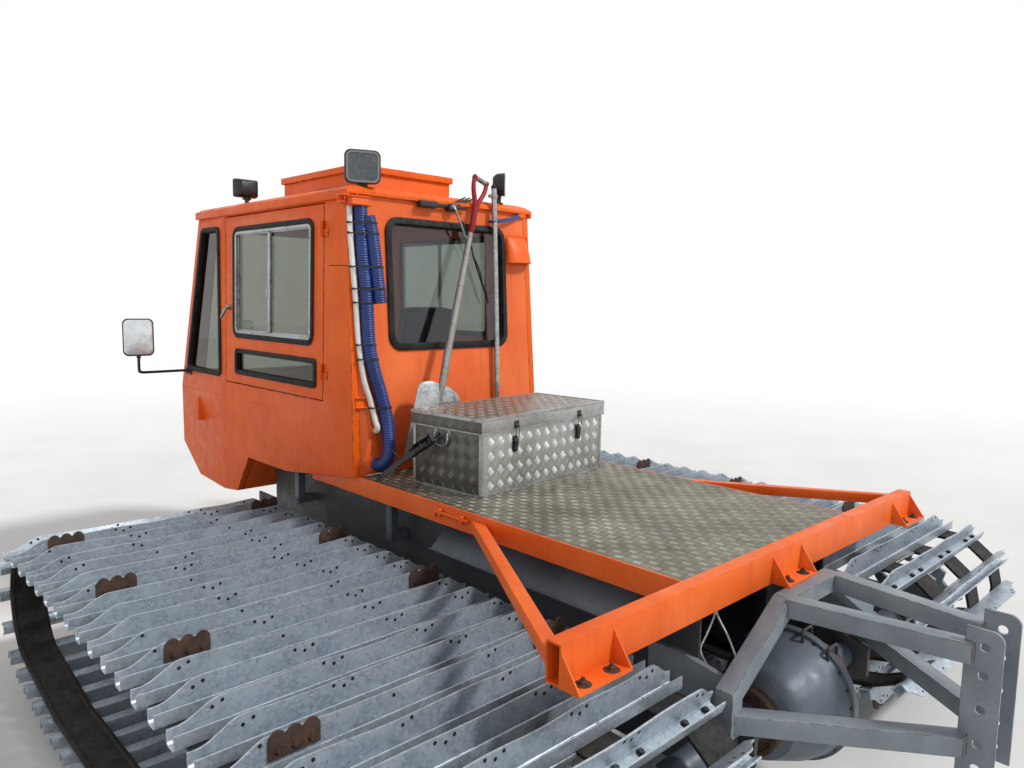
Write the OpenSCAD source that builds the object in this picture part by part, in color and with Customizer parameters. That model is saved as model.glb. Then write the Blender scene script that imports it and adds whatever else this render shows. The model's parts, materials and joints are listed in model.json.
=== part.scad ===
// Tracked snow groomer: narrow cab in front, flat deck behind it, wide barred tracks on both sides
// and a three-arm lifting hitch at the rear. Millimetres. +X is forward, +Y is left, +Z is up.
// The origin lies on the ground under the middle of the whole machine.

/* [Tracks] */
// Distance from one cross bar to the next along the belts
bar_pitch_wanted = 145; // [130:5:160]
// Length of a cross bar, which is the width of a track
bar_len = 1318; // [1250:2:1340]
// Width of a cross bar's channel
bar_w = 55; // [45:1:65]
// Height of a bar's tall leg above the belts
bar_tall = 108; // [96:1:116]
// Height of a bar's low leg above the belts
bar_low = 48; // [36:1:60]
// Thickness of a bar's base and legs
bar_t = 6; // [4:1:9]
// Length over which the tall leg drops to the low leg's height at each end
bar_taper = 150; // [110:5:190]
// Thickness of the rubber belts
belt_t = 14; // [10:1:18]
// Distance between the inner edges of the two tracks
track_gap = 1314; // [1300:2:1380]
// Height of the sprocket's axis above the road wheels' axis
sprocket_lift = 112; // [90:2:130]
// Height of the idler's axis above the road wheels' axis
idler_lift = 82; // [60:2:100]

/* [Wheels] */
// Radius of a road wheel's tyre
road_r = 216; // [205:1:220]
// Radius of the front idler's tyre
idler_r = 231; // [220:1:236]
// Radius of the sprocket at its teeth's tips
sprocket_r = 201; // [192:1:206]
// Place of the sprocket's axis along the machine
sprocket_x = -1745; // [-1760:5:-1735]
// Place of the idler's axis along the machine
idler_x = 1013; // [1005:1:1030]
// Place of the rearmost road wheel's axis
road_x = -1165; // [-1175:5:-1155]
// Distance between road wheels
road_pitch = 560; // [555:1:562]
// Number of road wheels on each side
road_count = 4; // [4:1:4]
// Width of a tyre
tyre_w = 190; // [160:5:210]
// Distance of the wheels' middle plane from the machine's middle
wheel_y = 1280; // [1260:5:1300]
// Radius of the rims
rim_r = 150; // [140:1:160]
// Radius of the axle tubes that carry the wheels
axle_r = 38; // [34:1:42]

/* [Chassis] */
// Half of the distance across the two side members
chassis_half = 477; // [460:1:490]
// Height of the side members' top above the ground
chassis_top = 918; // [912:1:926]
// Height of the side members' bottom above the ground
chassis_bottom = 290; // [280:1:296]
// Plate thickness of the side members
chassis_t = 12; // [8:1:16]
// Width of the side members' flanges
chassis_flange = 70; // [60:1:90]
// Front end of the side members under the cab
chassis_front = 1640; // [1600:5:1680]
// Rear end of the side members
chassis_rear = -1640; // [-1645:1:-1600]

/* [Deck] */
// Height of the deck frame above the side members
deck_frame_h = 90; // [80:1:100]
// Half of the distance across the deck's side rails
deck_half = 621; // [600:1:640]
// Wall thickness of the side rails
rail_t = 8; // [5:1:10]
// Thickness of the deck's chequered plate
deck_t = 5; // [4:1:8]
// Front end of the deck, at the cab's rear wall
deck_front = 238; // [232:1:239]

/* [Rear beam] */
// Rear face of the cross beam
beam_rear = -1706; // [-1716:1:-1696]
// Depth of the beam along the machine
beam_w = 55; // [45:1:65]
// Height of the beam
beam_h = 120; // [100:1:130]
// Half of the beam's length
beam_half = 1250; // [1200:5:1280]
// Wall thickness of the beam
beam_wall = 6; // [4:1:8]
// Side of the square diagonal braces
brace_w = 45; // [35:1:55]
// Reach of the beam's three bottom plates behind it
foot_reach = 66; // [56:1:76]
// Width of each bottom plate
foot_w = 225; // [190:1:250]

/* [Hitch] */
// Side of the hitch's square tubes
hitch_w = 64; // [56:1:72]
// Middle plane of the hoop along the machine
hoop_x = -1790; // [-1800:1:-1785]
// Half of the distance between the two pin plates' middles
plate_y = 95; // [85:1:105]
// Thickness of the pin plates
plate_t = 12; // [8:1:16]
// Rear edge of the pin plates
plate_rear = -2440; // [-2450:1:-2430]
// Length of the pin plates along the machine
plate_len = 106; // [96:1:116]
// Radius of the pin holes
pin_r = 15; // [12:1:18]

/* [Cab] */
// Wall thickness of the cab and its doors
wall = 40; // [34:1:46]
// Reach of the cab's sill beyond the deck's side rails
cab_overhang = 27; // [20:1:32]
// Lean of each side wall towards the middle, in degrees
side_lean = 1.2; // [0.8:0.1:1.6]
// Height of the roof's underside
roof_z = 2400; // [2390:1:2410]
// Thickness of the roof
roof_t = 46; // [40:1:56]
// Gap round each door
door_gap = 7; // [6:0.5:9]
// Thickness of the window panes
glass_t = 6; // [4:1:8]

/* [Toolbox] */
// Length of the toolbox across the machine
box_len = 930; // [880:5:960]
// Depth of the toolbox along the machine
box_w = 450; // [420:5:470]
// Height of the toolbox with its lid
box_h = 360; // [330:5:390]
// Sheet thickness of the toolbox
box_t = 4; // [3:0.5:6]
// Turn of the toolbox on the deck, in degrees
box_turn = 5; // [3:0.5:6]

/* [Hidden] */
$fn = 48;

// Clearance between pieces that rest on each other
seat = 0.3;

// Half of the cab's width at the height of its sill
cab_half = deck_half + cab_overhang;

// Rise of the whole track that keeps the corners of bars turning round a wheel off the ground
ground_clear = 0.7;

// Track loop: belts run over the sprocket, the idler and the first and last road wheels.
// The bars lie on a circle wide enough for the belts' straight stretches between them to clear the wheel.
function belt_sag(r) =
  (pow(bar_pitch_wanted * r / (r + belt_t) - bar_w, 2) - pow(bar_w, 2)) / (8 * r);
function bar_circle(r) = r + seat + belt_t + belt_sag(r);
track_y0 = track_gap / 2;
road_z = bar_tall + bar_circle(road_r) + ground_clear;
sprocket_z = road_z + sprocket_lift;
idler_z = road_z + idler_lift;
road_last_x = road_x + (road_count - 1) * road_pitch;
// Columns: place along the machine, height, radius of the bars' seats
pulleys = [
  [sprocket_x, sprocket_z, bar_circle(sprocket_r)],
  [idler_x, idler_z, bar_circle(idler_r)],
  [road_last_x, road_z, bar_circle(road_r)],
  [road_x, road_z, bar_circle(road_r)]
];
pulley_count = len(pulleys);

function at(list, i) = list[(i + len(list)) % len(list)];
function xz(p) = [p[0], p[1]];
function unit(v) = v / norm(v);
function left_of(v) = [-v[1], v[0]];
function heading(v) = atan2(v[1], v[0]);
function sum(list, count) = count <= 0 ? 0 : list[count - 1] + sum(list, count - 1);

// Outward normal of the straight run from pulley i to the next one
function run_normal(i) =
  let (a = at(pulleys, i), b = at(pulleys, i + 1), d = xz(b) - xz(a), s = (a[2] - b[2]) / norm(d))
  unit(d) * s + left_of(unit(d)) * sqrt(1 - s * s);
normals = [for (i = [0:pulley_count - 1]) run_normal(i)];
starts = [for (i = [0:pulley_count - 1]) xz(pulleys[i]) + normals[i] * pulleys[i][2]];
ends = [for (i = [0:pulley_count - 1]) xz(at(pulleys, i + 1)) + normals[i] * at(pulleys, i + 1)[2]];
run_lengths = [for (i = [0:pulley_count - 1]) norm(ends[i] - starts[i])];
// Turn at the pulley that follows run i
turns = [for (i = [0:pulley_count - 1]) (heading(normals[i]) - heading(at(normals, i + 1)) + 720) % 360];
arc_lengths = [for (i = [0:pulley_count - 1]) turns[i] * PI / 180 * at(pulleys, i + 1)[2]];
pieces_of_loop = [for (i = [0:pulley_count - 1]) each [run_lengths[i], arc_lengths[i]]];
loop_length = sum(pieces_of_loop, len(pieces_of_loop));
bar_count = round(loop_length / bar_pitch_wanted);
bar_pitch = loop_length / bar_count;

// Place and outward normal at distance s along the loop, from the start of the upper run
function station(s, k = 0) =
  s <= pieces_of_loop[k] || k == len(pieces_of_loop) - 1
    ? (k % 2 == 0
        ? let (i = k / 2) [starts[i] + unit(ends[i] - starts[i]) * s, normals[i]]
        : let (
            i = (k - 1) / 2,
            wheel = at(pulleys, i + 1),
            angle = heading(normals[i]) - s / wheel[2] * 180 / PI,
            n = [cos(angle), sin(angle)]
          ) [xz(wheel) + n * wheel[2], n])
    : station(s - pieces_of_loop[k], k + 1);
stations = [for (k = [0:bar_count - 1]) station((k + 0.5) * bar_pitch)];
// A point a ahead of a station and b outside the belts' outer face
function off_station(st, a, b) = st[0] + [st[1][1], -st[1][0]] * a + st[1] * b;

// Channel section of a cross bar. Columns: distance ahead of the bar's middle, height above the belts
bar_section = [
  [-bar_w / 2, 0], [-bar_w / 2, bar_low], [-bar_w / 2 + bar_t, bar_low], [-bar_w / 2 + bar_t, bar_t],
  [bar_w / 2 - bar_t, bar_t], [bar_w / 2 - bar_t, bar_tall], [bar_w / 2, bar_tall], [bar_w / 2, 0]
];
belt_section = [[-bar_w / 2, -belt_t], [bar_w / 2, -belt_t]];
shoe_outline = [for (st = stations) for (p = bar_section) off_station(st, p[0], p[1])];
belt_inside = [for (st = stations) for (p = belt_section) off_station(st, p[0], p[1])];

// Deck and beam
deck_z = chassis_top + deck_frame_h;
carrier_front = 695;
beam_front = beam_rear + beam_w;
beam_z0 = deck_z - beam_h;
// Front faces of the cross bearers that carry the deck plate
bearers = [deck_front, -180, -560, -940, -1320, beam_front + 60];
bearer_w = 60;
// Diagonal braces: where their middle lines meet the rail and the beam
brace_front = [-661, deck_half];
brace_rear = [beam_front, 1225];
brace_z0 = deck_z - 71;
foot_t = 8;
foot_places = [beam_half - foot_w / 2, 0, -beam_half + foot_w / 2];

// Hitch
hoop_top_half = 190;
hoop_top_z = beam_z0 - hitch_w / 2;
hoop_knee = [530, 650];
hoop_foot_z = 510;
low_arm_z = 560;
plate_front = plate_rear + plate_len;
plate_z0 = 440;
plate_z1 = 935;
plate_round = 34;
// Heights of the pin holes through both plates
pin_heights = [880, 790, 680, 570, 490];
pin_x = plate_rear + 50;

// Rear axle
housing_r = 248;
tube_r = 50;

// Cab outline seen from the left. Columns: place along the machine, height
door_x0 = 548;
door_x1 = 1715;
door_z0 = 1362;
door_z1 = 2366;
cab_rear_foot = [deck_front + 3, deck_z];
cab_rear_top = [331, roof_z];
cab_front_top = [2125, roof_z];
cab_brow = [2440, 1270];
cab_nose = [2415, 880];
cab_outline = [
  cab_rear_foot, cab_rear_top, cab_front_top, cab_brow, cab_nose,
  [2135, 690], [1745, 665], [1565, 686], [1410, chassis_top], [936, chassis_top]
];
rear_wall_i = 0;
roof_i = 1;
shield_i = 2;
front_i = 3;
cab_inside = inset(cab_outline, wall);
floor_strips = [4, 5, 6, 7, 8, 9];

// Outline moved inwards by d, with its corners mitred. The outline runs clockwise.
function inset(p, d) = [
  for (i = [0:len(p) - 1])
    let (u = unit(p[i] - at(p, i - 1)), v = unit(at(p, i + 1) - p[i]), m = -left_of(u) - left_of(v))
    p[i] + m * d / (1 + left_of(u) * left_of(v))
];
function side_y(z) = cab_half - (z - deck_z) * tan(side_lean);

// Toolbox place: middle of its base on the deck
box_x = -205;
box_y = -8;
box_lid_h = 44;

// Lids that turn over a rim: room inside the lip, and the lip's depth below the rim
lid_clear = 6;
lid_drop = 26;
// Lid hinges: barrels ahead of the lip, on an axis level with its lower edge
barrel_r = 8;
barrel_len = 50;
barrel_out = 16;

// Shapes shared by several pieces

// Extrudes an outline drawn in X and Z across the machine from y0 to y1
module across(y0, y1) {
  translate([0, y1, 0]) rotate([90, 0, 0]) linear_extrude(y1 - y0) children();
}

// Extrudes an outline drawn in Y and Z along the machine from x0 to x1
module along(x0, x1) {
  translate([x0, 0, 0]) rotate([90, 0, 90]) linear_extrude(x1 - x0) children();
}

// Repeats the children on the right side
module both_sides() {
  children();
  mirror([0, 1, 0]) children();
}

module round_tube(a, b, r) {
  d = b - a;
  translate(a) rotate([0, acos(d[2] / norm(d)), atan2(d[1], d[0])]) cylinder(r = r, h = norm(d));
}

module rounded_rect(w, h, r) {
  square([w - 2 * r, h], center = true);
  square([w, h - 2 * r], center = true);
  for (x = [-1, 1], y = [-1, 1]) translate([x * (w / 2 - r), y * (h / 2 - r)]) circle(r);
}

// Slab that a side wall fills, leaning towards the middle. depth is measured inwards from its face.
module side_slab(from_depth, to_depth) {
  z0 = 500;
  z1 = 2600;
  along(0, 2600) polygon([
    [side_y(z0) - from_depth, z0], [side_y(z1) - from_depth, z1],
    [side_y(z1) - to_depth, z1], [side_y(z0) - to_depth, z0]
  ]);
}

// Room between the two side walls
module between_sides(clear = 0) {
  z0 = 500;
  z1 = 2600;
  y0 = side_y(z0) - wall - clear;
  y1 = side_y(z1) - wall - clear;
  along(-100, 2700) polygon([[-y0, z0], [-y1, z1], [y1, z1], [y0, z0]]);
}

// Panel between outline corner i and the next, from wall to wall
module cab_strip(i) {
  intersection() {
    across(-cab_half, cab_half)
      polygon([cab_outline[i], at(cab_outline, i + 1), at(cab_inside, i + 1), cab_inside[i]]);
    between_sides();
  }
}

// Puts its children in a panel's outer plane: X across the machine, Y up the panel from its lower corner
module on_panel(lower, upper) {
  d = upper - lower;
  lean = atan2(d[0], d[1]);
  translate([lower[0], 0, lower[1]]) rotate([0, lean, 0]) rotate([90, 0, 90]) children();
}

// Tracks

module track() {
  difference() {
    across(track_y0, track_y0 + bar_len) polygon(
      concat(shoe_outline, belt_inside),
      [[for (i = [0:len(shoe_outline) - 1]) i], [for (i = [0:len(belt_inside) - 1]) len(shoe_outline) + i]]
    );
    for (end = [0, 1]) for (st = stations) taper_cut(st, end);
  }
}

// Wedge that takes the end off a bar's tall leg
module taper_cut(st, end) {
  d = bar_tall - bar_low;
  y_end = end == 0 ? track_y0 : track_y0 + bar_len;
  side = end == 0 ? 1 : -1;
  over = 2;
  p = off_station(st, bar_w / 2 - bar_t - over, bar_low);
  translate([p[0], y_end, p[1]]) rotate([0, 90 - heading(st[1]), 0]) along(0, bar_t + 2 * over) polygon([
      [-side * over, -over * d / bar_taper], [-side * over, d + over], [side * bar_taper * (1 + over / d), d + over]
    ]);
}

module track_left() {
  color("lightsteelblue") track();
}

module track_right() {
  color("lightsteelblue") mirror([0, 1, 0]) track();
}

// Wheels

// Tyre and rim on an axis across the machine. Columns of the profile: radius, distance from the middle plane
module tyred_wheel(x, z, r) {
  shoulder = 24;
  tread_half = tyre_w / 2 - shoulder;
  disc_t = 16;
  hub_r = 70;
  bead = 18;
  translate([x, wheel_y, z]) rotate([90, 0, 0]) rotate_extrude() polygon([
    [0, -wheel_hub_half], [hub_r, -wheel_hub_half], [hub_r, -disc_t / 2], [rim_r - bead, -disc_t / 2],
    [rim_r - bead, -tyre_w / 2 + bead], [rim_r, -tyre_w / 2], [r - shoulder, -tyre_w / 2], [r, -tread_half],
    [r, tread_half], [r - shoulder, tyre_w / 2], [rim_r, tyre_w / 2], [rim_r - bead, tyre_w / 2 - bead],
    [rim_r - bead, disc_t / 2], [hub_r, disc_t / 2], [hub_r, wheel_hub_half], [0, wheel_hub_half]
  ]);
}
wheel_hub_half = 60;

module road_wheels() {
  for (k = [0:road_count - 1]) tyred_wheel(road_x + k * road_pitch, road_z, road_r);
}

module road_wheels_left() {
  color("dimgray") road_wheels();
}

module road_wheels_right() {
  color("dimgray") mirror([0, 1, 0]) road_wheels();
}

module idler_left() {
  color("dimgray") tyred_wheel(idler_x, idler_z, idler_r);
}

module idler_right() {
  color("dimgray") mirror([0, 1, 0]) tyred_wheel(idler_x, idler_z, idler_r);
}

// Drive sprocket: two toothed discs on a drum, one tooth to each bar of a full turn
sprocket_teeth = round(2 * PI * bar_circle(sprocket_r) / bar_pitch);
sprocket_disc_t = 25;

module sprocket() {
  disc_gap = 60;
  drum_r = 120;
  root_r = sprocket_r - 44;
  root_half = 30;
  tip_half = 16;
  tip_clear = 1.3;
  tip_x = sqrt(pow(sprocket_r - tip_clear, 2) - pow(tip_half, 2));
  drum_half = wheel_hub_half + sprocket_disc_t;
  translate([sprocket_x, wheel_y, sprocket_z]) rotate([90, 0, 0]) {
    for (y = [-disc_gap - sprocket_disc_t, disc_gap]) translate([0, 0, y]) linear_extrude(sprocket_disc_t) {
      circle(root_r);
      for (k = [0:sprocket_teeth - 1]) rotate(k * 360 / sprocket_teeth) polygon([
        [root_r - 14, -root_half], [tip_x, -tip_half], [tip_x, tip_half], [root_r - 14, root_half]
      ]);
    }
    translate([0, 0, -drum_half]) cylinder(r = drum_r, h = 2 * drum_half);
  }
}

module sprocket_left() {
  color("slategray") sprocket();
}

module sprocket_right() {
  color("slategray") mirror([0, 1, 0]) sprocket();
}

// Tubes from the side members out to the wheels' hubs
module road_axles() {
  flange_r = 60;
  flange_t = 14;
  color("slategray") both_sides() {
    for (k = [0:road_count - 1]) axle_stub(road_x + k * road_pitch, road_z);
    axle_stub(idler_x, idler_z);
  }
  module axle_stub(x, z) {
    hub_y = wheel_y - wheel_hub_half;
    round_tube([x, chassis_half, z], [x, hub_y, z], axle_r);
    translate([x, hub_y, z]) rotate([90, 0, 0]) cylinder(r = flange_r, h = flange_t);
  }
}

// Rear axle: bell housing with a bolted ring, and tubes out to the sprockets
module rear_axle() {
  ring_w = 34;
  color("slategray") translate([sprocket_x, 0, sprocket_z]) rotate([90, 0, 0]) {
    rotate_extrude() polygon([
      [0, -330], [tube_r + 20, -330], [tube_r + 30, -300], [150, -270], [190, -170], [housing_r - 30, -100],
      [housing_r - 12, -ring_w / 2], [housing_r, -ring_w / 2], [housing_r, ring_w / 2],
      [housing_r - 12, ring_w / 2], [200, 90], [150, 170], [tube_r + 20, 210], [0, 210]
    ]);
    hub_y = wheel_y - wheel_hub_half - sprocket_disc_t;
    translate([0, 0, -hub_y]) cylinder(r = tube_r, h = 2 * hub_y);
  }
}

// Chassis

// Rear faces of the cross members between the side members
cross_members = [-1480, -1085, -325, 760, 1330];
cross_member_l = 60;
pan_t = 8;

module chassis() {
  inner_w = 2 * (chassis_half - chassis_t);
  last = cross_members[len(cross_members) - 1] + cross_member_l;
  color("slategray") {
    both_sides() side_member();
    for (x = cross_members) translate([x, 0, 0]) cross_member(inner_w);
    translate([cross_members[1], -inner_w / 2, chassis_bottom]) cube([last - cross_members[1], inner_w, pan_t]);
    both_sides() axle_hanger();
  }
}

// U-shaped cross member, open at its top for the drive line
module cross_member(inner_w) {
  h = 430;
  opening_w = 600;
  sill = 90;
  along(0, cross_member_l) translate([-inner_w / 2, chassis_bottom]) polygon([
    [0, 0], [0, h], [(inner_w - opening_w) / 2, h], [(inner_w - opening_w) / 2, sill],
    [(inner_w + opening_w) / 2, sill], [(inner_w + opening_w) / 2, h], [inner_w, h], [inner_w, 0]
  ]);
}

// Side member: a channel whose flanges point inwards, cut low in front to pass under the cab's nose
module side_member() {
  nose_top = 640;
  nose_x = 1400;
  intersection() {
    along(chassis_rear, chassis_front) polygon([
      [chassis_half, chassis_bottom], [chassis_half, chassis_top], [chassis_half - chassis_flange, chassis_top],
      [chassis_half - chassis_flange, chassis_top - chassis_t], [chassis_half - chassis_t, chassis_top - chassis_t],
      [chassis_half - chassis_t, chassis_bottom + chassis_t],
      [chassis_half - chassis_flange, chassis_bottom + chassis_t], [chassis_half - chassis_flange, chassis_bottom]
    ]);
    across(0, chassis_half) polygon([
      [chassis_rear, chassis_bottom], [chassis_rear, chassis_top], [nose_x, chassis_top], [nose_x, nose_top],
      [chassis_front, nose_top], [chassis_front, chassis_bottom]
    ]);
  }
}

// Hanger plate that holds the rear axle's tube behind the side member
module axle_hanger() {
  difference() {
    across(chassis_half - chassis_t - 20, chassis_half - chassis_t) polygon([
      [chassis_rear + 60, sprocket_z - 110], [chassis_rear + 60, sprocket_z + 130], [chassis_rear, sprocket_z + 130],
      [sprocket_x - 110, sprocket_z + 60], [sprocket_x - 110, sprocket_z - 60], [sprocket_x, sprocket_z - 110]
    ]);
    translate([sprocket_x, chassis_half, sprocket_z]) rotate([90, 0, 0]) cylinder(r = tube_r + seat, h = 100);
  }
}

module engine_block() {
  size = [980, 520, 560];
  color("dimgray") translate([-250, -size[1] / 2, chassis_bottom + pan_t]) cube(size);
}

// Front mount: cross tube with two pairs of lugs for a blade's frame
module front_mount() {
  lug_t = 20;
  lug_gap = 70;
  lug_hole_r = 20;
  lug_z = 450;
  lug_x = chassis_front + 110;
  color("slategray") {
    translate([chassis_front, -chassis_half, lug_z - 70]) cube([60, 2 * chassis_half, 140]);
    for (y = [-chassis_half + 60, chassis_half - 60]) for (s = [-1, 1])
      translate([0, y + s * (lug_gap + lug_t) / 2 - lug_t / 2, 0]) difference() {
        across(0, lug_t) {
          translate([chassis_front + 60, lug_z - 50]) square([50, 100]);
          translate([lug_x, lug_z]) circle(50);
        }
        translate([lug_x, lug_t + 1, lug_z]) rotate([90, 0, 0]) cylinder(r = lug_hole_r, h = lug_t + 2);
      }
  }
}

// Deck

module deck_frame() {
  color("orangered") {
    both_sides() {
      along(beam_front, deck_front) polygon([
        [deck_half, chassis_top], [deck_half, deck_z], [deck_half - rail_t, deck_z],
        [deck_half - rail_t, chassis_top + rail_t], [deck_half - 50, chassis_top + rail_t], [deck_half - 50, chassis_top]
      ]);
      brace();
      cab_carrier();
    }
    for (x = bearers) translate([x - bearer_w, -deck_half + rail_t / 2, chassis_top])
      cube([bearer_w, 2 * deck_half - rail_t, deck_frame_h - deck_t]);
    difference() {
      translate([beam_rear, -beam_half, beam_z0]) cube([beam_w, 2 * beam_half, beam_h]);
      translate([beam_rear + beam_wall, -beam_half - 1, beam_z0 + beam_wall])
        cube([beam_w - 2 * beam_wall, 2 * beam_half + 2, beam_h - 2 * beam_wall]);
    }
    for (y = foot_places) beam_foot(y);
  }
}

// Rail carried on forward under the cab's sloping floor
module cab_carrier() {
  rear_foot = cab_outline[0];
  floor_start = cab_outline[len(cab_outline) - 1];
  slope = (rear_foot[1] - floor_start[1]) / (floor_start[0] - rear_foot[0]);
  under_plate = deck_z - deck_t - 1;
  across(deck_half - 50, deck_half) polygon([
    [deck_front - 1, chassis_top], [deck_front - 1, under_plate], [deck_front, under_plate], [deck_front, deck_z],
    rear_foot, [carrier_front, floor_start[1] + slope * (floor_start[0] - carrier_front)],
    [carrier_front, chassis_top]
  ]);
}

// Brace from the rail's outer face to the beam's front face, cut flush at both ends
module brace() {
  u = unit(brace_rear - brace_front);
  n = left_of(u);
  function on_rail(o) = let (p = brace_front + n * o) p + u * (deck_half - p[1]) / u[1];
  function on_beam(o) = let (p = brace_front + n * o) p + u * (beam_front - p[0]) / u[0];
  h = brace_w / 2;
  translate([0, 0, brace_z0]) linear_extrude(brace_w)
    polygon([on_rail(h), on_beam(h), on_beam(-h), on_rail(-h)]);
}

// Bottom plate behind the beam with a triangular gusset at each end
module beam_foot(y) {
  gusset_t = 6;
  gusset_h = 100;
  translate([beam_rear - foot_reach, y - foot_w / 2, beam_z0]) cube([foot_reach, foot_w, foot_t]);
  for (g = [y - foot_w / 2, y + foot_w / 2 - gusset_t]) across(g, g + gusset_t) polygon([
    [beam_rear, beam_z0], [beam_rear, beam_z0 + gusset_h],
    [beam_rear - foot_reach, beam_z0 + foot_t], [beam_rear - foot_reach, beam_z0]
  ]);
}

// Deck plates: a rear one and a front one, which meet over a bearer
plate_gap = 2;
plate_seam = bearers[2] - bearer_w / 2;

module deck_sheet(x0, x1) {
  color("darkgray") translate([x0, -deck_half + rail_t, deck_z - deck_t])
    cube([x1 - x0, 2 * (deck_half - rail_t), deck_t]);
}

module deck_plate() {
  deck_sheet(beam_front, plate_seam - plate_gap / 2);
}

module deck_plate_front() {
  deck_sheet(plate_seam + plate_gap / 2, deck_front);
}

// Hitch: hoop, two upper and two lower arms, two pin plates, and cheeks against the side members
module hitch_frame() {
  h = hitch_w / 2;
  color("lightslategray") {
    along(hoop_x - h, hoop_x + h) band([
      [-hoop_knee[0], hoop_foot_z], [-hoop_knee[0], hoop_knee[1]], [-hoop_top_half, hoop_top_z],
      [hoop_top_half, hoop_top_z], [hoop_knee[0], hoop_knee[1]], [hoop_knee[0], hoop_foot_z]
    ], hitch_w);
    both_sides() {
      translate([0, 0, hoop_top_z - h]) hitch_arm(hoop_top_half);
      translate([0, 0, low_arm_z - h]) hitch_arm(hoop_knee[0]);
      across(plate_y - plate_t / 2, plate_y + plate_t / 2) pin_plate();
      hitch_cheek();
    }
  }
}

// Strip of width w along an open path, with mitred corners
module band(path, w) {
  last = len(path) - 1;
  function way(i) = unit(path[i + 1] - path[i]);
  function side(i, d) =
    let (m = left_of(way(max(i - 1, 0))), n = left_of(way(min(i, last - 1)))) path[i] + (m + n) * d / (1 + m * n);
  polygon(concat([for (i = [0:last]) side(i, w / 2)], [for (i = [last:-1:0]) side(i, -w / 2)]));
}

// Square arm from the hoop to a pin plate, cut flush at both ends. Its inner side ends in the plate.
module hitch_arm(hoop_y) {
  front_x = hoop_x - hitch_w / 2 + 10;
  rear_x = pin_x + pin_r + 12;
  edge_x = plate_front - 6;
  from = [hoop_x, hoop_y];
  u = unit([rear_x, plate_y] - from);
  n = left_of(u);
  function on_side(o, x) = let (p = from + n * o) p + u * (x - p[0]) / u[0];
  outer = -hitch_w / 2;
  linear_extrude(hitch_w) polygon([
    on_side(outer, front_x), on_side(outer, rear_x), [rear_x, plate_y], [edge_x, plate_y],
    on_side(-outer, edge_x), on_side(-outer, front_x)
  ]);
}

// Cheek bolted flat on the side member's outer face, from the hoop's leg forward
module hitch_cheek() {
  leg_in = hoop_knee[0] - hitch_w / 2 + 4;
  x0 = hoop_x - hitch_w / 2 + 16;
  x1 = chassis_rear + 190;
  z0 = sprocket_z + tube_r + 55;
  across(chassis_half, leg_in) polygon([
    [x0, z0], [x0, z0 + 110], [chassis_rear + 60, z0 + 150], [x1, z0 + 150], [x1, z0 + 40], [chassis_rear + 60, z0]
  ]);
}

module pin_plate() {
  difference() {
    union() {
      translate([plate_rear, plate_z0]) square([plate_len, plate_z1 - plate_z0 - plate_round]);
      translate([plate_rear + plate_round, plate_z0]) square([plate_len - plate_round, plate_z1 - plate_z0]);
      translate([plate_rear + plate_round, plate_z1 - plate_round]) circle(plate_round);
    }
    for (z = pin_heights) translate([pin_x, z]) circle(pin_r);
  }
}

// Cab

module cab_floor() {
  color("orangered") for (i = floor_strips) cab_strip(i);
}

module cab_side() {
  difference() {
    intersection() {
      across(0, cab_half + 50) polygon(cab_outline);
      side_slab(0, wall);
    }
    across(0, cab_half + 100) translate([door_x0 - door_gap, door_z0 - door_gap])
      square([door_x1 - door_x0 + 2 * door_gap, door_z1 - door_z0 + 2 * door_gap]);
    across(0, cab_half + 100) polygon(quarter_outline);
  }
  hinge_barrels(0);
}

// Front quarter window, whose front edge follows the windshield. Columns: place along the machine, height
quarter_outline = [[1806, 1400], [1826, 2300], [2070, 2300], [2320, 1400]];
door_window = [660, 1655, 1593, 2285];
strip_window = [627, 1433, 1567, 1555];

// Door hinges: barrels on a common axis along the rear edge of the door
hinge_r = 11;
hinge_out = 13;
hinge_x = door_x0 - door_gap / 2;
hinge_heights = [1510, 2240];
hinge_half = 40;

// Barrels of one hinge leaf: 0 on the wall, below, and 1 on the door, above
module hinge_barrels(leaf) {
  for (z = hinge_heights) {
    y = side_y(z) + hinge_out;
    lean = side_lean;
    translate([hinge_x, y, z]) rotate([lean, 0, 0]) {
      translate([0, 0, leaf == 0 ? -hinge_half : 1]) cylinder(r = hinge_r, h = hinge_half - 1);
      translate([leaf == 0 ? -45 : 0, -hinge_out, leaf == 0 ? -hinge_half : 1]) cube([45, 5, hinge_half - 1]);
      translate([leaf == 0 ? -hinge_r : 0, -hinge_out, leaf == 0 ? -hinge_half : 1]) cube([hinge_r, hinge_out, hinge_half - 1]);
    }
  }
}

module cab_side_left() {
  color("orangered") cab_side();
}

module cab_side_right() {
  color("orangered") mirror([0, 1, 0]) cab_side();
}

module door() {
  difference() {
    intersection() {
      across(0, cab_half + 50) translate([door_x0, door_z0]) square([door_x1 - door_x0, door_z1 - door_z0]);
      side_slab(0, wall);
    }
    across(0, cab_half + 100) window_cut(door_window, 45);
    across(0, cab_half + 100) window_cut(strip_window, 8);
  }
  hinge_barrels(1);
  door_lever();
}

// Rounded opening. Columns of w: low x, low z, high x, high z
module window_cut(w, r) {
  translate([(w[0] + w[2]) / 2, (w[1] + w[3]) / 2]) rounded_rect(w[2] - w[0], w[3] - w[1], r);
}

// Lever handle near the door's front edge
module door_lever() {
  z = 1820;
  y = side_y(z);
  translate([1655, y - 4, z]) rotate([-90, 0, 0]) cylinder(r = 16, h = 30);
  round_tube([1655, y + 26, z], [1700, y + 40, z - 62], 9);
}

module door_left() {
  color("orangered") door();
}

module door_right() {
  color("orangered") mirror([0, 1, 0]) door();
}

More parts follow.
